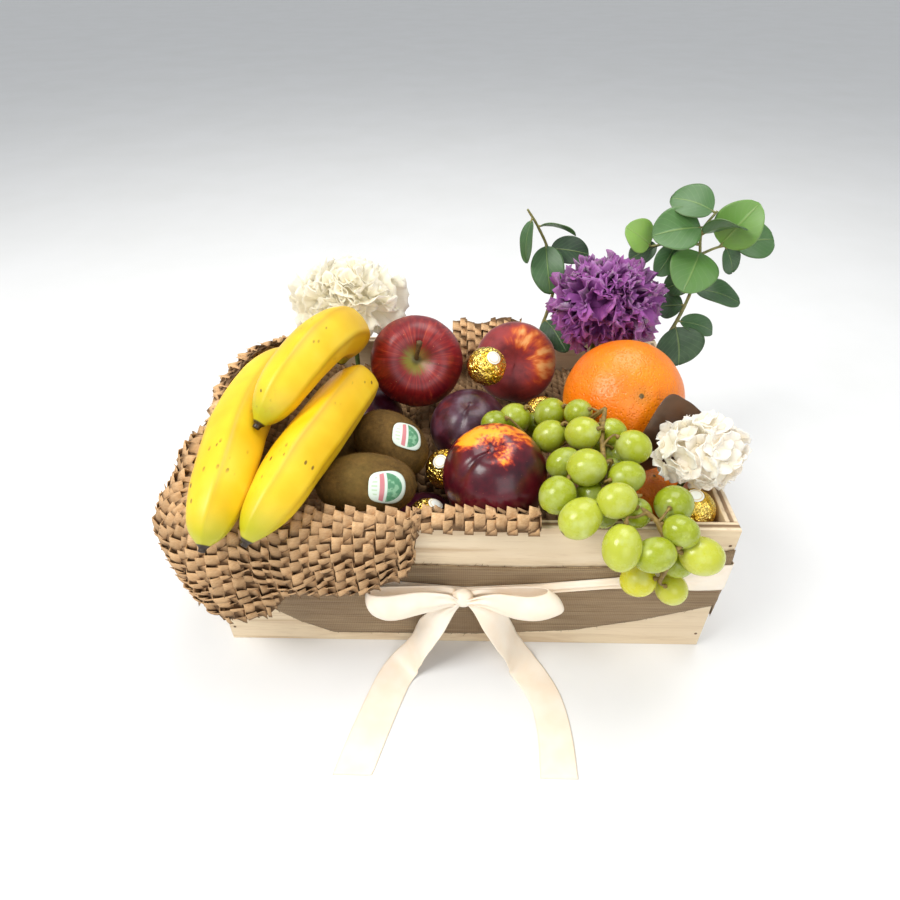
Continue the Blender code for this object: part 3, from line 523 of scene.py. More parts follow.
@dataclass(frozen=True)
class PlyFinish(Finish):
    """Pale birch plywood: grained faces, and edges that show a dark ply between two pale ones."""

    across: Across = Across.Y
    pale: ClassVar[Colour] = tint(228, 206, 172)
    deep: ClassVar[Colour] = tint(188, 156, 118)
    core: ClassVar[Colour] = tint(120, 94, 66)

    def draw(self, pen: Sketch) -> Material:
        """Draw long grain along the panel, fine pores and the plies of its edges."""
        axis, inner = self.across.value
        stretch = (42.0, 5.0, 60.0) if self.across is Across.X else (5.0, 42.0, 60.0)
        grain = pen.noise(1.0, 7.0, 0.62, 0.6, on=stretch)
        pores = pen.noise(14.0, 2.0, on=stretch)
        ragged = pen.noise(150.0, 4.0)
        depth = pen.math("SUBTRACT", pen.math("ABSOLUTE", pen.part(pen.place(), axis)), inner)
        layer = pen.nudge(pen.math("DIVIDE", depth, PLY), ragged, 0.16)
        pen.paint(layer, (0.0, self.pale), (0.28, self.pale), (0.36, self.core), (0.62, tint(150, 122, 90)),
                  (0.7, self.pale), (1.0, tint(240, 224, 199)))
        pen.stain(tint(168, 140, 106), ragged, 0.5, 0.75, 0.5)
        edge = pen.colour
        pen.paint(grain, (0.33, self.deep), (0.5, self.pale), (0.72, tint(238, 220, 190)))
        pen.stain(self.deep, pores, 0.55, 0.78, 0.35)
        pen.stain(tint(206, 183, 152), pen.noise(9.0, 2.0), 0.42, 0.75, 0.35)
        facing = pen.math("ABSOLUTE", pen.part(pen.node("NewGeometry", {}, "True Normal"), axis))
        pen.stain(edge, pen.math("LESS_THAN", facing, 0.7))
        pen.relief(grain, 0.0003, 0.35)
        pen.relief(pores, 0.0002, 0.35)
        return pen.wear(pen.span(grain, 0.3, 0.7, 0.62, 0.48))


@dataclass(frozen=True)
class SteelFinish(Finish):
    """A dull nail head."""

    def draw(self, pen: Sketch) -> Material:
        """Draw grey steel with light rust."""
        pen.paint(pen.noise(900.0), (0.4, tint(96, 84, 72)), (0.62, tint(132, 96, 66)))
        return pen.wear(0.5, Metallic=0.7)


@dataclass(frozen=True)
class WeaveFinish(Finish):
    """Thin brown band of open weave, with heavier threads along it."""

    along: ClassVar[float] = 2 * math.pi / 0.0011
    across: ClassVar[float] = 2 * math.pi / 0.0013

    def draw(self, pen: Sketch) -> Material:
        """Draw threads along and across from the band's own run and rise fields."""
        run = pen.field("run")
        rise = pen.field("rise")
        spot = pen.node("CombineXYZ", {0: pen.times(run, 11.0), 1: pen.times(rise, 520.0)})
        slub = pen.times(pen.noise(1.0, 5.0, 0.7, on=spot), 2.6)
        cross = pen.times(pen.wave(run, self.across), 0.12)
        threads = pen.math("ADD", pen.times(pen.wave(rise, self.along), 0.5), cross)
        net = pen.math("ADD", threads, slub)
        pen.paint(pen.span(net, 0.1, 2.3), (0.0, tint(92, 66, 38)), (0.35, tint(132, 104, 70)),
                  (0.7, tint(166, 138, 100)), (1.0, tint(204, 180, 142)))
        pen.stain(tint(128, 98, 64), pen.noise(14.0), 0.35, 0.7, 0.45)
        pen.relief(net, 0.0006, 0.8)
        return pen.wear(0.88, sheen=(0.1, 0.5))


@dataclass(frozen=True)
class SatinFinish(Finish):
    """Cream satin ribbon with a fine warp and woven edges."""

    warp: ClassVar[float] = 2 * math.pi / 0.0007

    def draw(self, pen: Sketch) -> Material:
        """Draw the warp from the ribbon's own rise field."""
        rise = pen.field("rise")
        pen.paint(pen.noise(60.0, 2.0), (0.35, tint(253, 234, 210)), (0.65, tint(255, 241, 222)))
        pen.stain(tint(232, 208, 176), pen.math("ABSOLUTE", rise), 0.0108, 0.0122, 0.12)
        pen.relief(pen.wave(rise, self.warp), 0.0001, 0.25)
        return pen.wear(0.36, flesh=(0.08, (0.9, 0.7, 0.5), 0.002), sheen=(0.35, 0.35),
                        Specular_IOR_Level=0.55, Anisotropic=0.5)


@dataclass(frozen=True)
class KraftFinish(Finish):
    """Brown kraft paper with fibres; its tone field sets a strip lighter or darker, partly as random tone and
    partly as painted light and shade.
    """

    def draw(self, pen: Sketch) -> Material:
        """Draw fibres, mottling and each strip's tone, with its painted light and shade."""
        fibre = pen.noise(420.0, 5.0, 0.65, on=(1.0, 1.0, 3.0))
        pen.paint(fibre, (0.3, tint(208, 164, 116)), (0.52, tint(232, 188, 138)), (0.74, tint(244, 208, 162)))
        pen.stain(tint(212, 166, 116), pen.noise(55.0), 0.35, 0.7, 0.3)
        # Low tone mixes in dark brown: painted shade in the gaps and on the inner and lower paper, with some
        # random tone.
        pen.stain(tint(70, 46, 26), pen.span(pen.field("tone"), 0.0, 1.0, 0.9, 0.0))
        pen.relief(fibre, 0.0003, 0.4)
        return pen.wear(0.82, Specular_IOR_Level=0.3)


@dataclass(frozen=True)
class BananaFinish(Finish):
    """Ripe yellow peel: greenish ends, faint lines along its ribs, brown flecks and dark ends."""

    def draw(self, pen: Sketch) -> Material:
        """Draw the peel from its way and edge fields and scattered flecks."""
        way = pen.field("way")
        soft = pen.noise(26.0)
        pen.paint(soft, (0.32, tint(238, 190, 10)), (0.55, tint(247, 206, 34)), (0.75, tint(252, 219, 72)))
        pen.stain(tint(198, 150, 18), pen.times(pen.field("edge"), 0.6))
        tip = pen.nudge(way, soft, 0.1)
        pen.stain(tint(176, 180, 26), tip, 0.24, 0.05, 0.85)
        pen.stain(tint(190, 192, 62), tip, 0.8, 0.98, 0.75)
        pen.stain(tint(196, 148, 30), pen.noise(34.0, 5.0, 0.7, on=(1.0, 0.6, 1.0)), 0.62, 0.76, 0.65)
        flecks = pen.span(pen.cells(190.0, on=(1.0, 0.45, 1.0)), 0.24, 0.12)
        chosen = pen.span(pen.noise(30.0, on=(1.0, 0.7, 1.0)), 0.54, 0.64, 0.0, 0.85)
        pen.stain(tint(98, 62, 22), pen.times(flecks, chosen))
        pen.stain(tint(46, 31, 14), pen.math("MAXIMUM", pen.span(way, 0.016, 0.004),
                                             pen.span(way, 0.972, 0.99)))
        pen.relief(pen.noise(520.0), 0.0002, 0.25)
        pen.relief(soft, 0.0012, 0.3)
        return pen.wear(pen.span(soft, 0.3, 0.7, 0.4, 0.54), (0.06, 0.35), (0.12, (1.0, 0.7, 0.15), 0.004))


@dataclass(frozen=True)
class CitrusFinish(Finish):
    """Waxy orange peel with pores."""

    pale: Colour = tint(255, 142, 6)
    deep: Colour = tint(243, 112, 0)
    pore: float = 560.0

    def draw(self, pen: Sketch) -> Material:
        """Draw pores as small sunk cells, and the green of the stalk's scar."""
        cells = pen.cells(self.pore, "SMOOTH_F1")
        way = pen.field("way")
        pen.paint(pen.noise(20.0, 4.0), (0.3, self.deep), (0.6, self.pale))
        pen.stain(tint(232, 96, 0), cells, 0.24, 0.02, 0.22)
        pen.stain(tint(210, 128, 12), way, 0.075, 0.02, 0.7)
        pen.stain(tint(104, 84, 38), way, 0.017, 0.009)
        pen.relief(pen.noise(110.0), 0.0022, 0.55)
        pen.relief(pen.span(cells, 0.1, 0.42), 0.0006, 0.6)
        pen.relief(pen.cells(self.pore * 2.1), 0.0002, 0.3)
        return pen.wear(0.36, (0.12, 0.28), (0.08, (1.0, 0.4, 0.05), 0.004))


@dataclass(frozen=True)
class AppleFinish(Finish):
    """Deep red apple skin, streaked from the stalk, with pale dots and a greenish hollow."""

    def draw(self, pen: Sketch) -> Material:
        """Draw streaks that run from pole to pole, and the dots between them."""
        local = pen.field("local", "Vector")
        ray = pen.vector("NORMALIZE", pen.vector("MULTIPLY", local, (1.0, 1.0, 0.0)))
        ray = pen.vector("ADD", ray, pen.vector("MULTIPLY", local, (0.0, 0.0, 0.35)))
        streak = pen.noise(13.0, 5.0, 0.62, on=ray)
        pen.paint(streak, (0.34, tint(100, 10, 18)), (0.48, tint(130, 18, 24)), (0.6, tint(158, 40, 32)),
                  (0.74, tint(192, 96, 52)))
        pen.stain(tint(100, 10, 22), pen.noise(1.6, on=local), 0.4, 0.66, 0.6)
        pen.stain(tint(222, 178, 120), pen.cells(7.5, on=local), 0.075, 0.035, 0.6)
        hollow = pen.span(pen.nudge(pen.field("way"), streak, 0.16), 0.115, 0.045, 0.0, 0.85)
        side = pen.span(pen.part(local, "X"), 0.35, -0.25, 0.25, 1.0)
        pen.stain(tint(134, 138, 34), pen.times(hollow, side))
        pen.stain(tint(70, 66, 18), pen.field("way"), 0.045, 0.015, 0.8)
        pen.relief(pen.noise(60.0, 2.0, on=local), 0.0002, 0.15)
        return pen.wear(0.4, (0.1, 0.25), (0.06, (1.0, 0.3, 0.1), 0.003))


@dataclass(frozen=True)
class StoneFruitFinish(Finish):
    """Peach, nectarine or plum skin: a dark blush with lighter flames near the stalk."""

    dark: Colour
    blush: Colour
    flame: Colour
    flames: float
    turn: Point
    reach: tuple[float, float]
    bloom: float
    fuzz: float
    gloss: float
    streaks: float = 4.2

    def draw(self, pen: Sketch) -> Material:
        """Draw flames towards one side, specks, and bloom or fuzz over them."""
        local = pen.field("local", "Vector")
        facing = pen.vector("DOT_PRODUCT", local, self.turn, "Value")
        ray = pen.vector("NORMALIZE", pen.vector("MULTIPLY", local, (1.0, 1.0, 0.45)))
        mixed = pen.nudge(facing, pen.noise(1.5, 2.0, on=local), 0.8)
        mixed = pen.nudge(mixed, pen.noise(self.streaks * 1.8, 2.0, on=ray), 0.34)
        share = pen.span(mixed, *self.reach)
        pen.paint(pen.noise(2.2, 4.0, 0.6, on=local), (0.32, self.dark), (0.62, self.blush))
        pen.stain(tint(176, 50, 28), share, 0.0, 0.45, min(0.85, 1.1 * self.flames))
        pen.stain(tint(226, 116, 36), share, 0.3, 0.75, self.flames)
        pen.stain(self.flame, share, 0.55, 1.0, self.flames)
        pen.stain(tint(206, 128, 92), pen.cells(13.0, on=local), 0.1, 0.04, 0.3)
        # Darker along the seam's groove: painted shade in the crease.
        pen.stain(self.dark, pen.times(pen.field("seam"), 0.45))
        pen.stain(tint(104, 84, 106), pen.noise(2.4, 3.0, 0.6, on=local), 0.42, 0.7, self.bloom)
        pen.relief(pen.noise(46.0, on=local), 0.0003, 0.15 + 0.4 * self.fuzz)
        return pen.wear(self.gloss, (0.15 * (1 - self.fuzz), 0.14), (0.06, (1.0, 0.3, 0.15), 0.003),
                        (self.fuzz * 0.55, 0.4), Sheen_Tint=(1.0, 0.85, 0.75, 1.0), Specular_IOR_Level=0.42)


@dataclass(frozen=True)
class KiwiFinish(Finish):
    """Brown kiwi skin, greenish in places, or the lighter hair on it."""

    hair: bool = False

    def draw(self, pen: Sketch) -> Material:
        """Draw mottled brown, lighter on the hair."""
        mottle = pen.noise(190.0, 5.0, 0.7)
        low, high = tint(80, 60, 26), tint(120, 91, 44)
        if self.hair:
            low, high = tint(118, 82, 38), tint(164, 122, 66)
        pen.paint(mottle, (0.3, low), (0.7, high))
        pen.stain(tint(112, 94, 40), pen.noise(34.0), 0.4, 0.68, 0.35)
        if not self.hair:
            pen.relief(mottle, 0.0008, 0.7)
        return pen.wear(0.8, Specular_IOR_Level=0.25)


@dataclass(frozen=True)
class SealFinish(Finish):
    """A small round label with one pale ring, and nothing that reads."""

    def draw(self, pen: Sketch) -> Material:
        """Draw the ring from the label's own place field, which runs from -1 to 1 both ways."""
        reach = pen.vector("LENGTH", pen.field("label", "Vector"), output="Value")
        pen.colour = tint(238, 240, 232)
        pen.stain(tint(206, 176, 112), pen.times(pen.span(reach, 0.62, 0.68),
                                                 pen.span(reach, 0.84, 0.78, 0.0, 0.6)))
        return pen.wear(0.42)


@dataclass(frozen=True)
class FruitLabelFinish(Finish):
    """A small round label with green and pink bands, and nothing that reads."""

    def draw(self, pen: Sketch) -> Material:
        """Draw the bands from the label's own place field, which runs from -1 to 1 both ways."""
        spot = pen.field("label", "Vector")
        across = pen.part(spot, "X")
        inside = pen.span(pen.vector("LENGTH", spot, output="Value"), 0.82, 0.78)
        green = pen.times(inside, pen.span(across, 0.06, 0.1))
        pen.colour = tint(222, 236, 222)
        pen.stain(tint(46, 132, 84), pen.times(green, 0.9))
        pen.stain(tint(150, 200, 160), pen.times(green,
                                                 pen.span(pen.noise(3.0, 2.0, on=spot), 0.48, 0.6, 0.0, 0.8)))
        pink = pen.times(pen.span(across, -0.34, -0.3), pen.span(across, -0.04, -0.08, 0.0, 0.8))
        pen.stain(tint(206, 74, 96), pen.times(inside, pink))
        lines = pen.span(pen.wave(pen.part(spot, "Y"), 26.0), 0.2, 0.5, 0.0, 0.45)
        pen.stain(tint(150, 190, 110), pen.times(inside, pen.times(pen.span(across, -0.42, -0.48), lines)))
        return pen.wear(0.38)


@dataclass(frozen=True)
class FoilFinish(Finish):
    """Crumpled gold-coloured foil."""

    def draw(self, pen: Sketch) -> Material:
        """Draw sharp creases and slight changes of tone."""
        pen.paint(pen.noise(160.0, 2.0), (0.35, tint(238, 192, 64)), (0.65, tint(255, 226, 126)))
        pen.relief(pen.cells(360.0, "DISTANCE_TO_EDGE"), 0.0016, 0.7)
        pen.relief(pen.noise(330.0, 2.0, 0.5, 1.2), 0.001, 0.6)
        return pen.wear(0.24, Metallic=1.0)


@dataclass(frozen=True)
class PlainFinish(Finish):
    """A mottled finish of two near colours with fine relief."""

    low: Colour
    high: Colour
    grain: float
    depth: float
    roughness: float
    coat: float = 0.0

    def draw(self, pen: Sketch) -> Material:
        """Draw the mottling and its relief."""
        mottle = pen.noise(self.grain, 5.0, 0.6)
        pen.paint(mottle, (0.3, self.low), (0.7, self.high))
        pen.relief(mottle, self.depth, 0.5)
        return pen.wear(self.roughness, (self.coat, 0.3))


@dataclass(frozen=True)
class GrapeFinish(Finish):
    """Pale green grape skin with bloom, clear enough to glow, and a brown dot at its foot."""

    def draw(self, pen: Sketch) -> Material:
        """Draw each grape's tint, partly its own colour and partly painted light and shade, faint veins,
        bloom and foot dot.
        """
        # The ramp runs from shaded to lit grape colours: painted light and shade, with the grape's own
        # colour.
        pen.paint(pen.field("own"), (0.0, tint(126, 142, 20)), (0.35, tint(160, 171, 38)),
                  (0.7, tint(188, 194, 66)), (1.0, tint(214, 206, 30)))
        pen.stain(tint(206, 220, 110), pen.noise(150.0, 5.0, 0.7), 0.52, 0.72, 0.35)
        bloom = pen.noise(85.0, 4.0, 0.6)
        pen.stain(tint(214, 224, 176), bloom, 0.48, 0.74, 0.3)
        pen.stain(tint(70, 48, 18), pen.part(pen.field("local", "Vector"), "Z"), -0.982, -0.993)
        pen.stain(tint(118, 104, 30), pen.cells(330.0), 0.09, 0.05, 0.45)
        return pen.wear(pen.span(bloom, 0.35, 0.7, 0.2, 0.38), (0.25, 0.16), (0.55, (1.0, 0.95, 0.2), 0.005),
                        IOR=1.42)


@dataclass(frozen=True)
class PetalFinish(Finish):
    """Soft petals that let light through, with a tone from their foot to their edge, and a glow that is
    painted light.
    """

    foot: Colour
    edge: Colour
    other: Colour
    # Emission in the edge colour: painted light, a faint self-lit glow that stands in for light passing
    # through.
    glow: float = 0.0

    def draw(self, pen: Sketch) -> Material:
        """Draw fine veins from foot to edge, and each petal's own tone."""
        out = pen.field("out")
        veins = pen.noise(1.6, 4.0, 0.6, on=pen.node("CombineXYZ",
                                                     {0: pen.times(pen.field("fan"), 16.0), 1: out}))
        pen.colour = self.foot
        pen.stain(self.edge, out, 0.15, 0.95)
        pen.stain(self.foot, veins, 0.45, 0.75, 0.35)
        pen.stain(self.other, pen.times(pen.field("own"), 0.5))
        pen.relief(veins, 0.0004, 0.5)
        # Emission at glow strength: painted light.
        return pen.wear(0.72, flesh=(0.4, (1.0, 0.9, 0.85), 0.006), Emission_Color=self.edge,
                        Emission_Strength=self.glow)


@dataclass(frozen=True)
class LeafFinish(Finish):
    """Eucalyptus leaf: bluish green, waxy, with a pale midrib, side veins and a reddish rim."""

    def draw(self, pen: Sketch) -> Material:
        """Draw veins from the leaf's own fan and out fields, and its tone, which is partly its own colour and
        partly painted light and shade.
        """
        away = pen.math("ABSOLUTE", pen.field("fan"))
        # The ramp runs from shaded to lit leaf greens: painted light and shade, with the leaf's own colour.
        pen.paint(pen.field("own"), (0.0, tint(34, 58, 34)), (0.45, tint(66, 104, 56)),
                  (0.8, tint(98, 142, 66)), (1.0, tint(140, 176, 78)))
        pen.stain(tint(104, 134, 96), pen.noise(70.0, 4.0, 0.6), 0.4, 0.7, 0.22)
        slant = pen.math("SUBTRACT", pen.times(pen.field("out"), 46.0), pen.times(away, 20.0))
        side = pen.span(pen.math("SINE", slant), 0.86, 1.0, 0.0, 0.1)
        pen.stain(tint(146, 176, 120), side)
        pen.stain(tint(150, 172, 96), away, 0.05, 0.015, 0.4)
        pen.stain(tint(110, 112, 70), away, 0.95, 1.0, 0.25)
        pen.relief(pen.span(away, 0.09, 0.0), 0.0006, 0.6)
        pen.relief(side, 0.0003, 0.5)
        return pen.wear(0.46, (0.12, 0.35), (0.15, (0.4, 1.0, 0.2), 0.002))


BIRCH_LONG = PlyFinish("birch_long_panels", Across.Y)
BIRCH_SIDE = PlyFinish("birch_side_panels", Across.X)
BIRCH_FLOOR = PlyFinish("birch_floor", Across.Z)
NAIL_STEEL = SteelFinish("nail_steel")
JUTE = WeaveFinish("open_weave_band")
SATIN = SatinFinish("cream_satin_ribbon")
KRAFT = KraftFinish("kraft_paper_strips")
BANANA = BananaFinish("banana_skin")
ORANGE_PEEL = CitrusFinish("orange_rind")
MANDARIN_PEEL = CitrusFinish("mandarin_rind", tint(255, 148, 18), tint(246, 118, 8), 760.0)
RED_APPLE = AppleFinish("red_apple_skin")
PEACH = StoneFruitFinish("flat_peach_skin", tint(96, 24, 32), tint(150, 46, 46), tint(242, 190, 116), 0.9,
                         (0.4, 0.08, 0.9), (0.38, 0.8), 0.06, 1.0, 0.62, 3.0)
NECTARINE = StoneFruitFinish("flamed_nectarine_skin", tint(46, 6, 20), tint(92, 12, 28), tint(255, 172, 36),
                             1.0, (-0.27, 0.22, 0.93), (0.64, 0.92), 0.0, 0.0, 0.28)
NECTARINE_RED = StoneFruitFinish("dark_nectarine_skin", tint(40, 10, 24), tint(72, 14, 30), tint(110, 30, 36),
                                 0.25, (-0.5, -0.4, 0.6), (0.7, 1.4), 0.4, 0.1, 0.38)
PLUM = StoneFruitFinish("plum_skin", tint(44, 10, 24), tint(84, 18, 38), tint(110, 34, 40), 0.25,
                        (0.3, -0.4, 0.6), (0.7, 1.4), 0.25, 0.0, 0.32)
KIWI_SKIN = KiwiFinish("kiwi_skin_under_hair")
KIWI_HAIR = KiwiFinish("kiwi_hair", True)
FRUIT_LABEL = FruitLabelFinish("banded_fruit_label")
SEAL_LABEL = SealFinish("ringed_seal_label")
GOLD_FOIL = FoilFinish("crumpled_gold_foil")
CUP_PAPER = PlainFinish("brown_cup_paper", tint(44, 26, 18), tint(74, 46, 30), 260.0, 0.0002, 0.55)
WAX_PAPER = PlainFinish("waxed_brown_paper", tint(66, 42, 24), tint(104, 68, 40), 46.0, 0.0006, 0.34, 0.4)
GRAPE = GrapeFinish("green_grape_skin")
GRAPE_WOOD = PlainFinish("grape_stalk_bark", tint(96, 74, 34), tint(158, 130, 62), 420.0, 0.0004, 0.6)
APPLE_WOOD = PlainFinish("fruit_stalk_bark", tint(62, 44, 24), tint(112, 86, 48), 700.0, 0.0004, 0.65)
PURPLE_PETAL = PetalFinish("veined_purple_petals", tint(98, 30, 104), tint(154, 76, 158), tint(146, 56, 132))
# The cream and the white petals glow faintly: painted light.
CREAM_PETAL = PetalFinish("cream_petals", tint(224, 212, 174), tint(247, 241, 220), tint(240, 230, 200), 0.06)
WHITE_PETAL = PetalFinish("white_floret_petals", tint(238, 228, 196), tint(252, 248, 236),
                          tint(252, 234, 218), 0.07)
EUCALYPTUS = LeafFinish("eucalyptus_leaf_wax")
TWIG_BARK = PlainFinish("sprig_bark", tint(104, 112, 60), tint(150, 140, 84), 380.0, 0.0003, 0.55)
STEM_GREEN = PlainFinish("flower_stem", tint(70, 92, 44), tint(112, 132, 66), 300.0, 0.0002, 0.6)
PALE_FLOOR = PlainFinish("pale_floor", tint(236, 236, 234), tint(240, 240, 239), 6.0, 0.0001, 0.7)


@dataclass
class Spots:
    """Where copies of small parts go: places, turns, sizes, which part, and each copy's tone, which for the
    grapes is partly painted light and shade.
    """

    places: Array
    turns: list[Matrix]
    sizes: Array
    picks: Array
    own: Array


class CopyTree:
    """A Geometry Nodes tree that sets copies on points and gives them one finish."""

    def __init__(self, name: str, **given: str) -> None:
        """Start a tree with these inputs, each a kind of socket."""
        self.tree = bpy.data.node_groups.new(name, "GeometryNodeTree")
        self.keys = {}
        for label, kind in given.items():
            socket = self.tree.interface.new_socket(label, in_out="INPUT", socket_type="NodeSocket" + kind)
            self.keys[label] = socket.identifier
        self.tree.interface.new_socket("Copies", in_out="OUTPUT", socket_type="NodeSocketGeometry")
        self.given = self.node("NodeGroupInput", {}).outputs

    def node(self, kind: str, inputs: dict, **settings: object) -> bpy.types.Node:
        """Add a node."""
        return add_node(self.tree, kind, inputs, **settings)

    def first(self, node: bpy.types.Node) -> Socket:
        """Return the output of a node whose outputs depend on its kind of data."""
        return next(socket for socket in node.outputs if socket.enabled)

    def send_out(self, copies: bpy.types.Node) -> None:
        """Make the copies real, give them their finish and send them out."""
        real = self.node("GeometryNodeRealizeInstances", {0: copies.outputs[0]})
        painted = self.node("GeometryNodeSetMaterial",
                            {"Geometry": real.outputs[0], "Material": self.given["Finish"]})
        self.node("NodeGroupOutput", {0: painted.outputs[0]})

    def run(self, item: Item, finish: Finish, **values: object) -> Item:
        """Run the tree on an object with these inputs, and keep the mesh that it gives."""
        copies = item.modifiers.new("copies", "NODES")
        copies.node_group = self.tree
        copies[self.keys["Finish"]] = finish.material()
        for label, value in values.items():
            copies[self.keys[label]] = value
        bake(item).data.name = item.name
        return item


class Scatter(CopyTree):
    """Copies of small parts on points, each point with its own turn, size and part."""

    def __init__(self) -> None:
        """Build the tree."""
        super().__init__("copies_on_points", Points="Geometry", Parts="Collection", Finish="Material")
        shown = self.node("GeometryNodeCollectionInfo",
                          {0: self.given["Parts"], "Separate Children": True, "Reset Children": True})
        turned = self.node("FunctionNodeEulerToRotation", {0: self.named("turn", "FLOAT_VECTOR")})
        self.send_out(self.node("GeometryNodeInstanceOnPoints", {
            "Points": self.given["Points"], "Instance": shown.outputs[0], "Pick Instance": True,
            "Instance Index": self.named("pick", "INT"), "Rotation": turned.outputs[0],
            "Scale": self.named("size", "FLOAT_VECTOR")}))

    def named(self, name: str, kind: str) -> Socket:
        """Return the output of a node that reads one field of the points."""
        return self.first(self.node("GeometryNodeInputNamedAttribute", {"Name": name}, data_type=kind))

    def set_out(self, name: str, spots: Spots, parts: Sequence[Item], finish: Finish) -> Item:
        """Make one mesh of all the copies.

        Args:
            name: The piece's name.
            spots: Where the copies go.
            parts: What is copied; they are removed afterwards.
            finish: What the copies' surface is.

        Returns:
            The piece, a plain mesh.
        """
        mesh = bpy.data.meshes.new(name)
        mesh.from_pydata(np.asarray(spots.places, float).tolist(), [], [])
        turns = [tuple(matrix.to_euler()) for matrix in spots.turns]
        for key, values in (("turn", turns), ("size", spots.sizes), ("pick", spots.picks),
                            ("own", spots.own)):
            set_field(mesh, key, values)
        item = put_in(name, mesh)
        group = bpy.data.collections.new(name + "_parts")
        bpy.context.scene.collection.children.link(group)
        for number, part in enumerate(parts):
            part.name = f"{name}_part_{number:02d}"
            bpy.context.scene.collection.objects.unlink(part)
            group.objects.link(part)
        self.run(item, finish, Parts=group)
        for part in list(group.objects):
            bpy.data.objects.remove(part)
        bpy.data.collections.remove(group)
        item.data.shade_smooth()
        return item


class Fuzz(CopyTree):
    """Fine hairs that stand on a skin."""

    def __init__(self) -> None:
        """Build the tree."""
        super().__init__("hairs_on_skin", Skin="Geometry", Hair="Object", Density="Float", Finish="Material")
        points = self.node("GeometryNodeDistributePointsOnFaces",
                           {0: self.given["Skin"], "Density": self.given["Density"], "Seed": SEED}).outputs
        hair = self.node("GeometryNodeObjectInfo", {0: self.given["Hair"]})
        lean = self.node("FunctionNodeEulerToRotation",
                         {0: self.random("FLOAT_VECTOR", (-0.55, -0.55, -3.1), (0.55, 0.55, 3.1), 3)})
        turned = self.node("FunctionNodeRotateRotation", {0: points["Rotation"], 1: lean.outputs[0]},
                           rotation_space="LOCAL")
        self.send_out(self.node("GeometryNodeInstanceOnPoints", {
            "Points": points["Points"], "Instance": hair.outputs["Geometry"], "Rotation": turned.outputs[0],
            "Scale": self.random("FLOAT", 0.6, 1.15, 4)}))

    def random(self, kind: str, low: object, high: object, seed: int) -> Socket:
        """Return a random value for each hair."""
        node = self.node("FunctionNodeRandomValue", {}, data_type=kind)
        inputs = [socket for socket in node.inputs if socket.enabled]
        for place, value in ((0, low), (1, high), (-1, seed)):
            inputs[place].default_value = value
        return self.first(node)

    def grow(self, name: str, skin: Item, finish: Finish, density: float, length: float) -> Item:
        """Make the hairs of one skin as a piece of their own, with so many to a square metre."""
        thin = length * 0.055
        corners = [(thin, 0, 0), (-thin / 2, thin * 0.87, 0), (-thin / 2, -thin * 0.87, 0), (0, 0, length)]
        hair = make_mesh("one_hair", np.array(corners), [(0, 1, 3), (1, 2, 3), (2, 0, 3), (0, 2, 1)], finish)
        item = self.run(put_in(name, skin.data.copy()), finish, Hair=hair, Density=density)
        bpy.data.objects.remove(hair)
        return item


@dataclass
class Studio:
    """The camera at the photograph's angle, soft lights and a pale floor."""

    place: Point = (-0.00263, -0.4093, 0.41767)
    pitch: float = math.radians(38.987)
    yaw: float = math.radians(-1.377)
    roll: float = math.radians(-0.3)
    focal_pixels: float = 641.6
    image_pixels: float = 900.0
    sensor: float = 36.0
    floor_reach: float = 9.0

    def build(self) -> None:
        """Make the camera, the lights and the floor."""
        self.camera()
        scene = bpy.context.scene
        scene.view_settings.view_transform = "Standard"
        world = bpy.data.worlds.new("studio_air")
        world.use_nodes = True
        air = world.node_tree.nodes["Background"].inputs
        air["Color"].default_value = (0.93, 0.96, 1.0, 1.0)
        air["Strength"].default_value = 0.56
        scene.world = world
        self.light("window", (-0.8, -0.45, 1.2), 0.6, 13.5, (1.0, 0.985, 0.96))
        self.light("overhead", (0.2, 0.35, 1.3), 0.8, 8.5, (1.0, 0.99, 0.97))
        self.light("bounce", (0.45, -1.15, 0.62), 0.9, 4.6, (0.98, 0.99, 1.0))
        corners = np.array([(-1, -1, 0), (1, -1, 0), (1, 1, 0), (-1, 1, 0)]) * self.floor_reach
        make_mesh("pale_floor", corners, [(0, 1, 2, 3)], PALE_FLOOR)

    def camera(self) -> None:
        """Set the camera from its place and its three turns."""
        forward = Vector((math.sin(self.yaw) * math.cos(self.pitch),
                          math.cos(self.yaw) * math.cos(self.pitch), -math.sin(self.pitch)))
        level = Vector((math.cos(self.yaw), -math.sin(self.yaw), 0.0))
        upright = level.cross(forward)
        right = math.cos(self.roll) * level + math.sin(self.roll) * upright
        up = math.cos(self.roll) * upright - math.sin(self.roll) * level
        data = bpy.data.cameras.new("photo_camera")
        data.sensor_width = self.sensor
        data.lens = self.focal_pixels * self.sensor / self.image_pixels
        data.clip_start = 0.01
        item = put_in("photo_camera", data)
        tilt = Matrix((right, up, -forward)).transposed().to_4x4()
        item.matrix_world = Matrix.Translation(self.place) @ tilt
        bpy.context.scene.camera = item

    def light(self, name: str, place: Point, size: float, power: float, colour: Point) -> None:
        """Make one square area light that looks at the basket."""
        data = bpy.data.lights.new(name, "AREA")
        data.size = size
        data.energy = power
        data.color = colour
        item = put_in(name, data)
        item.location = place
        item.rotation_euler = (Vector((0, 0, 0.1)) - Vector(place)).to_track_quat("-Z", "Y").to_euler()


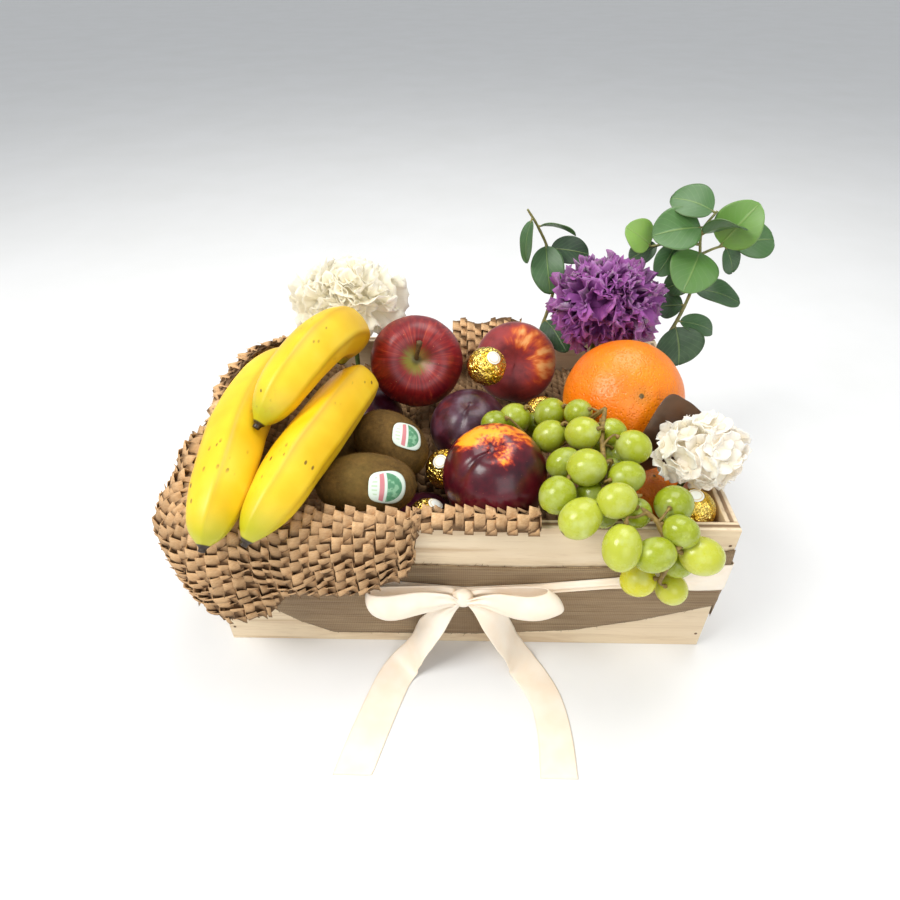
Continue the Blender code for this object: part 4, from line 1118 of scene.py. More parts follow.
@dataclass
class Crate:
    """The open plywood crate: the frame's own panels, and the nails that hold them."""

    nail_radius: float = 0.0011
    nail_inset: float = 0.004
    nail_rise: float = 0.014

    def build(self, nodes: dict[str, Item], scatter: Scatter) -> None:
        """Give the frame's panels their plywood, and set the nails."""
        for name, finish in (("crate_front", BIRCH_LONG), ("crate_back", BIRCH_LONG),
                             ("crate_left", BIRCH_SIDE),
                             ("crate_right", BIRCH_SIDE), ("crate_floor", BIRCH_FLOOR)):
            nodes[name].data.materials.clear()
            nodes[name].data.materials.append(finish.material())
        levels = (self.nail_rise, CRATE_HEIGHT / 2, CRATE_HEIGHT - self.nail_rise)
        places = [(side * (HALF_X - self.nail_inset), front * HALF_Y, level)
                  for side in (-1, 1) for front in (-1, 1) for level in levels]
        turns = [turn_to((0, math.copysign(1, place[1]), 0)) for place in places]
        count = len(places)
        spots = Spots(np.array(places), turns, np.ones((count, 3)), np.zeros(count, int), np.zeros(count))
        dress(scatter.set_out("crate_nails", spots, [self.head()], NAIL_STEEL), "birch_ply")

    def head(self) -> Item:
        """Make a low domed nail head about its own origin."""
        reach, height = np.array([(0.0, 0.35), (0.7, 0.3), (1.0, 0.05), (1.0, -0.8), (0.0, -0.8)]).T
        points = lathe_points(self.nail_radius * reach, 0.001 * height, 12)
        return make_mesh("nail_head", points, lathe_faces(len(reach) - 2, 12), NAIL_STEEL)


def crate_outline(lift: float, step: float = 0.004) -> Array:
    """Return points round the crate, a little off its walls, front first and then to the right.

    Args:
        lift: The distance from the walls.
        step: The distance between points.

    Returns:
        The points (x, y) and the outward direction (x, y), one a row.
    """
    turn = 0.0015
    rows = []
    x, y = HALF_X + lift, HALF_Y + lift
    sides = (((-x + turn, -y), (x - turn, -y), (0, -1)), ((x, -y + turn), (x, y - turn), (1, 0)),
             ((x - turn, y), (-x + turn, y), (0, 1)), ((-x, y - turn), (-x, -y + turn), (-1, 0)))
    for start, end, outward in sides:
        count = int(math.dist(start, end) / step) + 1
        for share in np.linspace(0, 1, count):
            rows.append((start[0] + (end[0] - start[0]) * share, start[1] + (end[1] - start[1]) * share,
                         *outward))
    return np.array(rows)


@dataclass
class WovenBand:
    """The thin brown band of open weave round the crate, with its wavy, frayed edges."""

    lift: float = 0.0011
    thickness: float = 0.0006
    rows: int = 22

    def edges(self, x: float, y: float) -> tuple[float, float]:
        """Return the lower and upper edge at a point of the crate's outline."""
        if y > -HALF_Y:
            wave = 0.004 * math.sin(31 * x + 23 * y)
            return 0.034 + wave, 0.098 - wave
        low = np.interp(x, (-0.175, -0.145, -0.12, -0.096, 0.012, 0.08, 0.127, 0.175),
                        (0.046, 0.045, 0.024, 0.011, 0.012, 0.018, 0.031, 0.049))
        high = np.interp(x, (-0.175, -0.05, 0.04, 0.1, 0.14, 0.175),
                         (0.084, 0.088, 0.086, 0.088, 0.094, 0.106))
        return float(low), float(high)

    def build(self) -> None:
        outline = crate_outline(self.lift, 0.0025)
        count = len(outline)
        shares = np.linspace(0, 1, self.rows)
        points, run, rise = [], [], []
        length = travelled(outline[:, :2])
        for along, (x, y, out_x, out_y) in zip(length, outline):
            low, high = self.edges(x, y)
            fray = 0.0007 * noise.noise(Vector((along * 260, 3.0, 0)))
            heights = low + fray + (high - low - 2 * fray) * shares
            fold = 0.00045 * np.sin(heights * 310 + 2.5 * math.sin(along * 19)) * np.sin(math.pi * shares)
            push = np.abs(fold) + 0.0004 * (shares * (1 - shares)) * 4
            points.append(np.stack([x + out_x * push, y + out_y * push, heights], axis=1))
            run.append(np.full(self.rows, along))
            rise.append(heights)
        faces = [tuple(reversed(face)) for face in grid_faces(count, self.rows)]
        last = (count - 1) * self.rows
        faces += [(last + i, i, i + 1, last + i + 1) for i in range(self.rows - 1)]
        grid = np.array(points)
        fields = {"run": np.concatenate(run), "rise": np.concatenate(rise)}
        band = thicken(make_mesh("woven_band_cloth", grid, faces, JUTE, fields), self.thickness)
        dress(band, "woven_jute", "woven_band")
        self.fringe(grid, length)

    def fringe(self, grid: Array, length: Array) -> None:
        """Make the loose thread ends along both edges."""
        random = np.random.default_rng(SEED)
        points, faces = [], []
        fields = {"run": [], "rise": []}
        for row, sign in ((0, -1.0), (-1, 1.0)):
            for index in range(0, len(grid) - 1, 2):
                if random.random() < 0.45:
                    continue
                start = grid[index, row]
                reach = random.uniform(0.0008, 0.0028)
                lean = random.uniform(-0.7, 0.7) * reach
                side = unit(grid[min(index + 1, len(grid) - 1), row] - start)
                if not np.isfinite(side).all() or np.linalg.norm(side) < 0.5:
                    continue
                end = start + side * lean + np.array([0, 0, sign * reach])
                first = len(points)
                half = side * 0.00016
                points += [start - half, start + half, end + half * 0.6, end - half * 0.6]
                faces.append((first, first + 1, first + 2, first + 3))
                fields["run"] += [length[index]] * 4
                fields["rise"] += [start[2]] * 4
        fringe = make_mesh("woven_band_fringe", np.array(points), faces, JUTE, fields)
        dress(thicken(fringe, 0.00028), "woven_jute")


@dataclass
class Bow:
    """The cream satin ribbon: round the crate, drawn into a knot with two loops and two tails."""

    width: float = 0.025
    lift: float = 0.0024
    thickness: float = 0.00045
    on_table: float = 0.0006
    across: int = 25
    knot_centre: Point = (-0.001, -0.1332, 0.065)
    knot_radii: Point = (0.0076, 0.005, 0.007)
    count: int = 110

    def rise(self) -> Array:
        """Return the real distance from the ribbon's middle for each point across."""
        return np.linspace(-self.width / 2, self.width / 2, self.across)

    def strip(self, name: str, low: Array, high: Array, outward: Array, puff: Array, pleats: float,
              fade: Array, closed: bool = False) -> Item:
        """Make a length of ribbon between two edges.

        Args:
            name: The piece's name.
            low: Its lower edge, one point a row.
            high: Its upper edge.
            outward: The direction that its folds stand up in at each point.
            puff: How far its middle stands off the line between its edges at each point.
            pleats: How many small folds it has where it is drawn together.
            fade: How strongly the small folds show at each point, from 0 to 1.
            closed: Whether its end meets its start.

        Returns:
            The piece.
        """
        share = np.linspace(0, 1, self.across)
        drawn = np.linalg.norm(high - low, axis=1)
        spare = np.sqrt(np.maximum((self.width / np.maximum(drawn, 0.001)) ** 2 - 1, 0.0))
        depth = np.minimum(0.14 * drawn * spare / pleats, 0.0016) * fade
        waves = depth[:, None] * (1 + np.cos(2 * math.pi * pleats * share + 0.8))
        height = puff[:, None] * np.sin(math.pi * share) ** 0.8 + waves
        raised = unit(outward)[:, None] * height[..., None]
        grid = low[:, None] + (high - low)[:, None] * share[None, :, None] + raised
        faces = grid_faces(len(grid), self.across)
        if closed:
            last = (len(grid) - 1) * self.across
            faces += [(last + i, last + i + 1, i + 1, i) for i in range(self.across - 1)]
        fields = {"rise": np.tile(self.rise(), len(grid))}
        return thicken(make_mesh(name, grid, faces, SATIN, fields), self.thickness)

    def declare(self, item: Item, length: float, held: str, rests: list[str], *nodes: str) -> None:
        dress(item, "cream_satin", *nodes)

    def build(self) -> None:
        """Make every part of the ribbon."""
        self.band()
        self.knot()
        for name, (high, low) in BOW_LOOPS.items():
            self.loop(name, high, low)
        for name, (route, widths) in BOW_TAILS.items():
            self.tail(name, route, widths)

    def band(self) -> None:
        """Make the ribbon round the crate, drawn together at the knot."""
        outline = crate_outline(self.lift, 0.003)
        middles, widths = [], []
        for x, y, _, _ in outline:
            if y > -HALF_Y:
                middles.append(0.067 + self.width / 2)
                widths.append(self.width)
                continue
            middles.append(np.interp(x, (-0.175, -0.11, -0.085, -0.05, 0.0, 0.05, 0.1, 0.14, 0.175),
                                     (0.079, 0.0735, 0.0705, 0.0685, 0.063, 0.0675, 0.0745, 0.079, 0.0805)))
            widths.append(np.interp(x, (-0.175, -0.15, -0.11, -0.085, -0.05, 0, 0.05, 0.1, 0.135, 0.16,
                                        0.175),
                                    (0.025, 0.023, 0.011, 0.0084, 0.008, 0.0076, 0.0076, 0.008, 0.014, 0.0236,
                                     0.025)))
        path = np.column_stack([outline[:, :2], middles])
        half = np.array(widths)[:, None] / 2 * (0.0, 0.0, 1.0)
        outward = np.column_stack([outline[:, 2:], np.zeros(len(path))])
        flat = np.zeros(len(path))
        item = self.strip("ribbon_round_crate", path - half, path + half, outward, flat, 1.5, flat + 1,
                          closed=True)
        self.declare(item, travelled(path)[-1] + CLOSING_GAP, "stretched", ["woven_band_cloth"],
                     "ribbon_band")

    def knot(self) -> None:
        """Make the small knot, a pinched wrap of ribbon with folds across it."""
        rings, sides = 24, 48
        theta = np.linspace(0, math.pi, rings + 1)
        angles = around(sides)
        waist = 1 - 0.1 * np.cos(angles) ** 2 + 0.03 * np.cos(4 * angles + 2 * theta[:, None])
        points = lathe_points(np.sin(theta) ** 0.6, np.cos(theta), sides,
                              np.stack([waist, waist, 0 * waist + 1], axis=2))
        points[:, 0] *= 1 + 0.1 * np.cos(points[:, 2] * 2.6)
        spot = np.array(self.knot_centre) + points * self.knot_radii
        knot = make_mesh("bow_knot_wrap", spot, lathe_faces(rings - 1, sides), SATIN,
                         {"rise": points[:, 0] * 0.009})
        dress(knot, "cream_satin", "bow_knot")

    def loop(self, name: str, high: Sequence[Point], low: Sequence[Point]) -> None:
        """Make one loop of the bow, drawn together at the knot and puffed at its bend."""
        top = smooth_path(high, self.count)
        foot = smooth_path(low, self.count)
        middle = (top + foot) / 2
        way = np.linspace(0, 1, self.count)
        outward = unit(np.cross(unit(np.gradient(middle, axis=0)), unit(top - foot)))
        if ((middle - middle.mean(axis=0)) * outward).sum() < 0:
            outward = -outward
        puff = np.interp(way, (0, 0.1, 0.42, 0.6, 0.78, 0.93, 1),
                         (0.0, 0.0005, 0.0018, 0.0034, 0.0026, 0.0008, 0.0))
        fade = np.exp(-((middle[:, 0] - self.knot_centre[0]) / 0.02) ** 2)
        item = self.strip(f"bow_loop_satin_{name}", foot, top, outward, puff, 2.0, fade)
        self.declare(item, travelled(middle)[-1], "gathered", ["bow_knot_wrap"], f"bow_loop_{name}")

    def tail(self, name: str, route: Sequence[Point], widths: Sequence[float]) -> None:
        """Make one tail, from the knot down to the table and along it to a straight cut."""
        path = smooth_path(route, self.count)
        path[:, 2] = np.maximum(path[:, 2], self.on_table)
        way = np.linspace(0, 1, self.count)
        half = spread(widths, self.count)[:, None] / 2
        along = unit(np.gradient(path, axis=0))
        flat = np.stack([-along[:, 1], along[:, 0], 0 * along[:, 0]], axis=1)
        share = np.clip((way - 0.12) / 0.42, 0, 1)[:, None]
        flat = unit(flat) * share + np.array((0.96, 0.05, 0.0)) * (1 - share)
        last = np.linspace(0, 1, 8)[:, None]
        flat[-8:] = unit(flat[-8:] * (1 - last) + np.array((1.0, 0, 0)) * last)
        flat = unit(flat)
        up = np.cross(flat, along)
        up *= np.sign(up[:, 2:3] + 1e-9 - 0.2 * up[:, 1:2])
        puff = 0.1 * np.maximum(self.width - 2 * half[:, 0], 0)
        puff += 0.0008 * np.sin(way * 19) ** 2 * np.sin(math.pi * way)
        fade = np.exp(-(way / 0.16) ** 2)
        item = self.strip(f"ribbon_tail_satin_{name}", path - flat * half, path + flat * half, up, puff, 1.5,
                          fade)
        self.declare(item, travelled(path)[-1], "draped", ["bow_knot_wrap"], f"ribbon_tail_{name}")


BOW_LOOPS = {
    "left": (((-0.004, -0.132, 0.0665), (-0.0105, -0.1318, 0.072), (-0.024, -0.132, 0.0745),
              (-0.043, -0.1325, 0.075), (-0.06, -0.1332, 0.0748), (-0.0652, -0.136, 0.0752),
              (-0.0625, -0.1395, 0.0748), (-0.0545, -0.1405, 0.0746), (-0.044, -0.139, 0.0745),
              (-0.033, -0.1375, 0.0752), (-0.021, -0.1368, 0.0752), (-0.0105, -0.1355, 0.073),
              (-0.004, -0.1345, 0.0672)),
             ((-0.004, -0.132, 0.06), (-0.0105, -0.1325, 0.0595), (-0.024, -0.133, 0.0575),
              (-0.043, -0.134, 0.055), (-0.0575, -0.1355, 0.0545), (-0.064, -0.1388, 0.057),
              (-0.0612, -0.1425, 0.056), (-0.053, -0.1448, 0.0545), (-0.044, -0.1448, 0.0552),
              (-0.033, -0.1425, 0.0572), (-0.0215, -0.1395, 0.0588), (-0.0105, -0.1362, 0.0612),
              (-0.004, -0.1345, 0.0608))),
    "right": (((0.002, -0.132, 0.0665), (0.0105, -0.1322, 0.0712), (0.022, -0.1325, 0.074),
               (0.035, -0.1328, 0.076), (0.048, -0.1334, 0.0772), (0.0545, -0.1356, 0.078),
               (0.053, -0.139, 0.0776), (0.0433, -0.1405, 0.076), (0.0318, -0.1392, 0.0757),
               (0.022, -0.1375, 0.0752), (0.011, -0.1355, 0.0715), (0.002, -0.1345, 0.0672)),
              ((0.002, -0.132, 0.06), (0.0105, -0.1325, 0.06), (0.022, -0.133, 0.059),
               (0.037, -0.1345, 0.058), (0.055, -0.1368, 0.0605), (0.0655, -0.1402, 0.0655),
               (0.0642, -0.1438, 0.0628), (0.051, -0.1452, 0.0572), (0.037, -0.1442, 0.0566),
               (0.025, -0.1415, 0.0588), (0.013, -0.1375, 0.0622), (0.002, -0.1345, 0.0608))),
}
BOW_TAILS = {
    "left": (((-0.003, -0.133, 0.0615), (-0.0075, -0.135, 0.0595), (-0.015, -0.1372, 0.054),
              (-0.0225, -0.138, 0.04), (-0.0285, -0.1385, 0.0265), (-0.0355, -0.14, 0.011),
              (-0.042, -0.144, 0.003), (-0.049, -0.154, 0.0006), (-0.0562, -0.1743, 0.0006),
              (-0.0645, -0.202, 0.0006), (-0.0705, -0.2235, 0.0006)),
             (0.007, 0.0105, 0.016, 0.0205, 0.0225, 0.024, 0.025, 0.025, 0.025, 0.025, 0.025)),
    "right": (((0.001, -0.133, 0.0615), (0.008, -0.1352, 0.06), (0.0155, -0.137, 0.0545),
               (0.0218, -0.1378, 0.044), (0.03, -0.1385, 0.026), (0.037, -0.14, 0.012),
               (0.0425, -0.144, 0.003), (0.05, -0.154, 0.0006), (0.058, -0.172, 0.0006),
               (0.0612, -0.196, 0.0006), (0.061, -0.2235, 0.0006)),
              (0.007, 0.011, 0.017, 0.0215, 0.024, 0.0245, 0.024, 0.0235, 0.0225, 0.023, 0.024)),
}

BED_LEVEL = 0.099
DRAPE_LEFT_START = -0.036
DRAPE_FRONT_END = 0.047
DRAPE_CORNER = 0.025


def crumple(point: Array, seed: float, size: float) -> float:
    """Return the paper's own smooth random offset at a point."""
    return size * noise.noise(Vector((point[0] * 42 + seed, point[1] * 42, point[2] * 42)))


@dataclass
class SlitPaper:
    """Brown paper cut with rows of slits and pulled open, so that its strips stand like small battlements."""

    strip: float = 0.01
    pitch: float = 0.0084
    tab: float = 0.0067
    shift: float = 0.0024
    stand: float = 0.002
    tilt: float = math.radians(-20)
    thickness: float = 0.00028

    def surface(self, sections: list[Array], fine: int = 140) -> tuple[Array, Array]:
        """Lay sections out by the distance along each.

        Args:
            sections: Points across the paper, for each place along it.
            fine: How many samples each section gets.

        Returns:
            For each section, samples at equal distances with a last row past its end, and the
            section's length.
        """
        rows, lengths = [], []
        for section in sections:
            away = travelled(section)
            lengths.append(away[-1])
            rows.append([np.interp(np.linspace(0, away[-1], fine), away, section[:, axis])
                         for axis in range(3)])
        return np.array(rows).transpose(0, 2, 1), np.array(lengths)

    def sample(self, table: Array, lengths: Array, row: Array, away: Array) -> Array:
        """Return points at places along and distances across, straight on past the paper's ends."""
        row = np.clip(row, 0, len(table) - 1.001)
        low = row.astype(int)
        part = (row - low)[:, None]
        ends = []
        for index in (low, low + 1):
            share = away / lengths[index] * (table.shape[1] - 1)
            inside = np.clip(share, 0, table.shape[1] - 1.001)
            cell = inside.astype(int)
            rest = (inside - cell)[:, None]
            ends.append(table[index, cell] * (1 - rest) + table[index, cell + 1] * rest)
        return ends[0] * (1 - part) + ends[1] * part

    def strips(self, name: str, sections: list[Array], lift: float, seed: int, dark: float = 0.0,
               side: float = 1.0) -> Item:
        """Make the rows of cut strips over a surface.

        Args:
            name: The piece's name.
            sections: Points across the paper, for each place along it.
            lift: How far off the surface the strips' middles are.
            seed: A number that changes the jitter.
            dark: How much painted shade darkens the strips, from 0 to 1.
            side: 1 where the strips stand on the outer side and -1 on the inner side.

        Returns:
            The strips as one piece.
        """
        table, lengths = self.surface(sections)
        middle = np.array([row[len(row) // 2] for row in table])
        along = travelled(middle)
        random = np.random.default_rng(SEED + seed)
        points, faces, lit_and_shaded_tones = [], [], []
        tabs = int(along[-1] / self.tab) + 1
        inside = np.array((0.03, 0.36, 0.68, 0.97))
        shares = np.array((-0.5, -0.17, 0.17, 0.5))
        # Painted shade across each strip, darkest at its tucked edge.
        shade = np.array((1.0, 0.96, 0.8, 0.2))
        cell = np.repeat(np.arange(tabs), 4)
        twist = np.tile(1 - 2 * inside, tabs)
        wave = 1.0 - 2.0 * (cell % 2)
        for number in range(int(float(lengths.max()) / self.pitch) + 1):
            centre = self.pitch * (number + 0.5)
            edges = self.tab * (np.arange(tabs + 1) + 0.16 * random.uniform(-1, 1, tabs + 1))
            travel = (edges[:-1, None] + np.diff(edges)[:, None] * inside).ravel()
            walk = np.interp(np.clip(travel, 0, along[-1]), along, np.arange(len(table)))
            own = random.uniform(-1, 1, (tabs, 3))[cell]
            away = centre + self.shift * wave + 0.0005 * own[:, 0]
            reach = np.interp(walk, np.arange(len(lengths)), lengths)
            keep = (away > 0.0004) & (away < reach - 0.0012)
            base = self.sample(table, lengths, walk, away)
            down = unit(self.sample(table, lengths, walk, away + 0.002)
                        - self.sample(table, lengths, walk, np.maximum(away - 0.002, 0)))
            onward = self.sample(table, lengths, walk + 0.4, away)
            onward -= self.sample(table, lengths, walk - 0.4, away)
            out = unit(np.cross(unit(onward), down)) * side
            turn = self.tilt + 0.2 * own[:, 1] + 0.14 * wave
            across = down * np.cos(turn)[:, None] + out * np.sin(turn)[:, None]
            base = base + out * (lift + self.stand * (0.2 * wave + 0.8 * twist) + 0.0003 * own[:, 2])[:, None]
            first = sum(len(block) for block in points)
            arch = 0.0005 * np.cos(shares * math.pi)[:, None]
            rows = base[:, None] + across[:, None] * (shares[:, None] * self.strip) + out[:, None] * arch
            points.append(rows.reshape(-1, 3))
            # Each point's tone: a random tone per tab, painted light where the twist lifts the tab out, and
            # painted shade from the row's shade and from dark.
            light = (0.84 + 0.16 * own[:, 2] + 0.1 * twist)[:, None] * shade[None, :] * (1 - dark)
            lit_and_shaded_tones.append(light.ravel())
            for place in np.flatnonzero(keep[:-1] & keep[1:]).tolist():
                for a in range(first + place * 4, first + place * 4 + 3):
                    faces.append((a, a + 1, a + 5, a + 4) if side > 0 else (a, a + 4, a + 5, a + 1))
        return self.used_only(name, np.vstack(points), faces, np.concatenate(lit_and_shaded_tones))

    def sheet(self, name: str, sections: list[Array], lift: float, tone: float, side: float = 1.0) -> Item:
        """Make a plain crumpled layer under the strips, of one tone; a low tone paints it dark, as painted
        shade seen through the gaps.
        """
        table, _ = self.surface(sections, 60)
        out = unit(np.cross(np.gradient(table, axis=0), np.gradient(table, axis=1))) * side
        ripple = 0.0008 * wobble(table, 160.0, 5.0)
        grid = table + out * (lift + ripple)[..., None]
        fields = {"tone": np.full(grid.shape[0] * grid.shape[1], tone)}
        return thicken(make_mesh(name, grid, grid_faces(*grid.shape[:2]), KRAFT, fields), 0.0003)

    def used_only(self, name: str, points: Array, faces: Faces, lit_and_shaded_tones: Array) -> Item:
        """Keep only the points that faces use, and give the strips their thickness."""
        used = np.unique(np.array(faces).ravel())
        renumber = np.zeros(len(points), int)
        renumber[used] = np.arange(len(used))
        kept = renumber[np.array(faces)].tolist()
        return thicken(make_mesh(name, points[used], kept, KRAFT, {"tone": lit_and_shaded_tones[used]}), self.thickness)


def drape_rim(way: float) -> tuple[tuple[float, float], tuple[float, float]]:
    """Return the rim point and the outward direction at a distance along the draped paper."""
    corner_x = -HALF_X + PLY / 2 + DRAPE_CORNER
    corner_y = -HALF_Y + PLY / 2 + DRAPE_CORNER
    left = DRAPE_LEFT_START - corner_y
    bend = DRAPE_CORNER * math.pi / 2
    if way < left:
        return (corner_x - DRAPE_CORNER, DRAPE_LEFT_START - way), (-1, 0)
    if way < left + bend:
        angle = (way - left) / DRAPE_CORNER
        outward = (-math.cos(angle), -math.sin(angle))
        return (corner_x + DRAPE_CORNER * outward[0], corner_y + DRAPE_CORNER * outward[1]), outward
    return (corner_x + way - left - bend, corner_y - DRAPE_CORNER), (0, -1)


@dataclass
class PaperLining:
    """All the slit paper: the part over the front left corner, the arch, the back scrap and the bed."""

    paper: SlitPaper

    def build(self, nodes: dict[str, Item]) -> None:
        """Make the four papers."""
        self.pair("paper_drape", self.drape_sections())
        self.pair("paper_arch", self.arch_sections(), -1.0)
        self.pair("paper_back", self.back_sections())
        self.bed(nodes["paper_bed"])

    def pair(self, node: str, sections: list[Array], side: float = 1.0) -> None:
        """Make strips on both sides of a plain layer and join them to one piece."""
        seed = len(sections)
        # The strips on the far side are darkened by 0.25 and the plain layer between is nearly dark brown:
        # painted shade.
        parts = [self.paper.strips(f"{node}_strips", sections, 0.0012, seed, 0.0, side),
                 self.paper.strips(f"{node}_lining", sections, 0.0012, seed + 1, 0.25, -side),
                 self.paper.sheet(f"{node}_layer", sections, 0.0, 0.1, side)]
        dress(join(f"{node}_slit", parts), "kraft_paper", node)

    def drape_sections(self) -> list[Array]:
        """Return sections from the filling over the rim and down, along the left wall and the front."""
        left = DRAPE_LEFT_START + HALF_Y - PLY / 2 - DRAPE_CORNER
        bend = DRAPE_CORNER * math.pi / 2
        total = left + bend + DRAPE_FRONT_END + HALF_X - PLY / 2 - DRAPE_CORNER
        sections = []
        for way in np.linspace(0, total, 110):
            (x, y), (out_x, out_y) = drape_rim(way)
            hang = np.interp(way, (0, 0.045, left + bend / 2, 0.11, 0.128, 0.16, 0.185, 0.207, 0.213, total),
                             (0.004, 0.038, 0.058, 0.058, 0.038, 0.036, 0.034, 0.022, 0.002, -0.002))
            bulge = np.interp(way, (0, 0.03, left + bend / 2, 0.115, 0.2, 0.213, total),
                              (0.012, 0.017, 0.018, 0.007, 0.005, -0.002, -0.003))
            lift = np.interp(way, (0, 0.03, 0.075, 0.11, total), (0.01, 0.012, 0.004, 0.0, 0.0))
            inward = np.interp(way, (0, 0.1, 0.13, total), (0.014, 0.012, 0.0, -0.001))
            section = ((-inward - 0.002, 0.0075 - inward), (-0.4 * inward, 0.0068), (0.003, 0.0068),
                       (0.007 + 0.5 * bulge, 0.005 + lift), (0.011 + bulge, -0.01 + lift),
                       (0.011 + bulge, -0.4 * hang - 0.01 + 0.5 * lift),
                       (0.0105 + 0.8 * bulge, -hang - 0.012))
            strip = ((-0.006, 0.0015), (-0.005, 0.005), (-0.002, 0.0078), (0.001, 0.008), (0.004, 0.007),
                     (0.0065, 0.005), (0.008, 0.002))
            share = np.clip((hang - 0.003) / 0.01, 0.0, 1.0)
            section = share * np.array(section) + (1 - share) * np.array(strip)
            line = []
            for out, up in smooth_path(section, 26):
                point = np.array((x + out_x * out, y + out_y * out, CRATE_HEIGHT + up))
                push = abs(crumple(point, 3.0, 0.005)) + abs(crumple(point * 0.42, 8.0, 0.009))
                push *= float(np.interp(out, (0.006, 0.013), (0.15, 1.0)))
                line.append(point + push * np.array((out_x, out_y, 0.2)))
            sections.append(np.array(line))
        return sections

    def arch_sections(self) -> list[Array]:
        """Return sections of the curled fold that stands on the left wall."""
        sections = []
        for y in np.linspace(-0.033, 0.094, 60):
            reach = np.interp(y, (-0.033, 0.009, 0.036, 0.053, 0.068, 0.094),
                              (0.187, 0.193, 0.19, 0.184, 0.176, 0.16))
            height = np.interp(y, (-0.033, -0.015, 0.06, 0.094), (0.012, 0.019, 0.022, 0.012))
            section = ((0.034, -0.003), (0.025, 0.007), (0.01, 0.0085), (0.0015, 0.012),
                       (0.0, 0.7 * height), (0.004, height), (0.011, height + 0.002))
            line = []
            for inward, up in smooth_path(section, 24):
                point = np.array((-reach + inward, y, CRATE_HEIGHT + up))
                line.append(point - np.array((abs(crumple(point, 9.0, 0.004)), 0, 0)))
            sections.append(np.array(line))
        return sections

    def back_sections(self) -> list[Array]:
        """Return sections of the scrap that stands up at the back wall."""
        sections = []
        for x in np.linspace(-0.012, 0.05, 30):
            line = []
            for y, up in smooth_path(((0.1045, -0.014), (0.1075, 0.002), (0.113, 0.011), (0.1215, 0.018)),
                                     16):
                point = np.array((x, y, CRATE_HEIGHT + up))
                line.append(point + np.array((0, 0, crumple(point, 5.0, 0.006) * max(up, 0) / 0.018)))
            sections.append(np.array(line))
        return sections

    def bed(self, node: Item) -> None:
        """Make the crumpled filling on the top of the frame's own filling."""
        tree = BVHTree.FromPolygons([vertex.co.copy() for vertex in node.data.vertices],
                                    [tuple(face.vertices) for face in node.data.polygons])
        sections = []
        for x in np.linspace(-INNER_X + 0.002, INNER_X - 0.002, 130):
            line = []
            for y in np.linspace(INNER_Y - 0.002, -INNER_Y + 0.002, 92):
                hit = tree.ray_cast(Vector((x, y, 0.3)), Vector((0, 0, -1)))[0]
                line.append((x, y, (hit.z if hit else BED_LEVEL) - 0.002))
            sections.append(np.array(line))
        # The bed's strips are darkened by 0.45 and its plain layer is nearly dark brown: painted shade
        # between the fruit.
        parts = [self.paper.strips("paper_bed_strips", sections, -0.0002, 5, 0.45, -1.0),
                 self.paper.sheet("paper_bed_layer", sections, -0.002, 0.05, -1.0)]
        dress(join("paper_bed_slit", parts), "kraft_paper", "paper_bed")


BANANAS = {
    "banana_left": (0.0192, (
        (-0.153, -0.157, 0.139), (-0.1515, -0.148, 0.145), (-0.15, -0.131, 0.151),
        (-0.15, -0.104, 0.156), (-0.152, -0.072, 0.158), (-0.152, -0.033, 0.157),
        (-0.148, 0.007, 0.154), (-0.143, 0.037, 0.147), (-0.139, 0.062, 0.137))),
    "banana_right": (0.0187, (
        (-0.129, -0.152, 0.139), (-0.122, -0.142, 0.147), (-0.114, -0.124, 0.152),
        (-0.107, -0.099, 0.155), (-0.098, -0.069, 0.156), (-0.09, -0.037, 0.155),
        (-0.084, -0.008, 0.151), (-0.085, 0.016, 0.139), (-0.091, 0.032, 0.124))),
    "banana_top": (0.018, (
        (-0.134, -0.08, 0.171), (-0.127, -0.069, 0.178), (-0.117, -0.05, 0.188),
        (-0.106, -0.022, 0.193), (-0.097, 0.004, 0.191), (-0.092, 0.028, 0.179),
        (-0.096, 0.043, 0.16), (-0.105, 0.05, 0.141))),
}


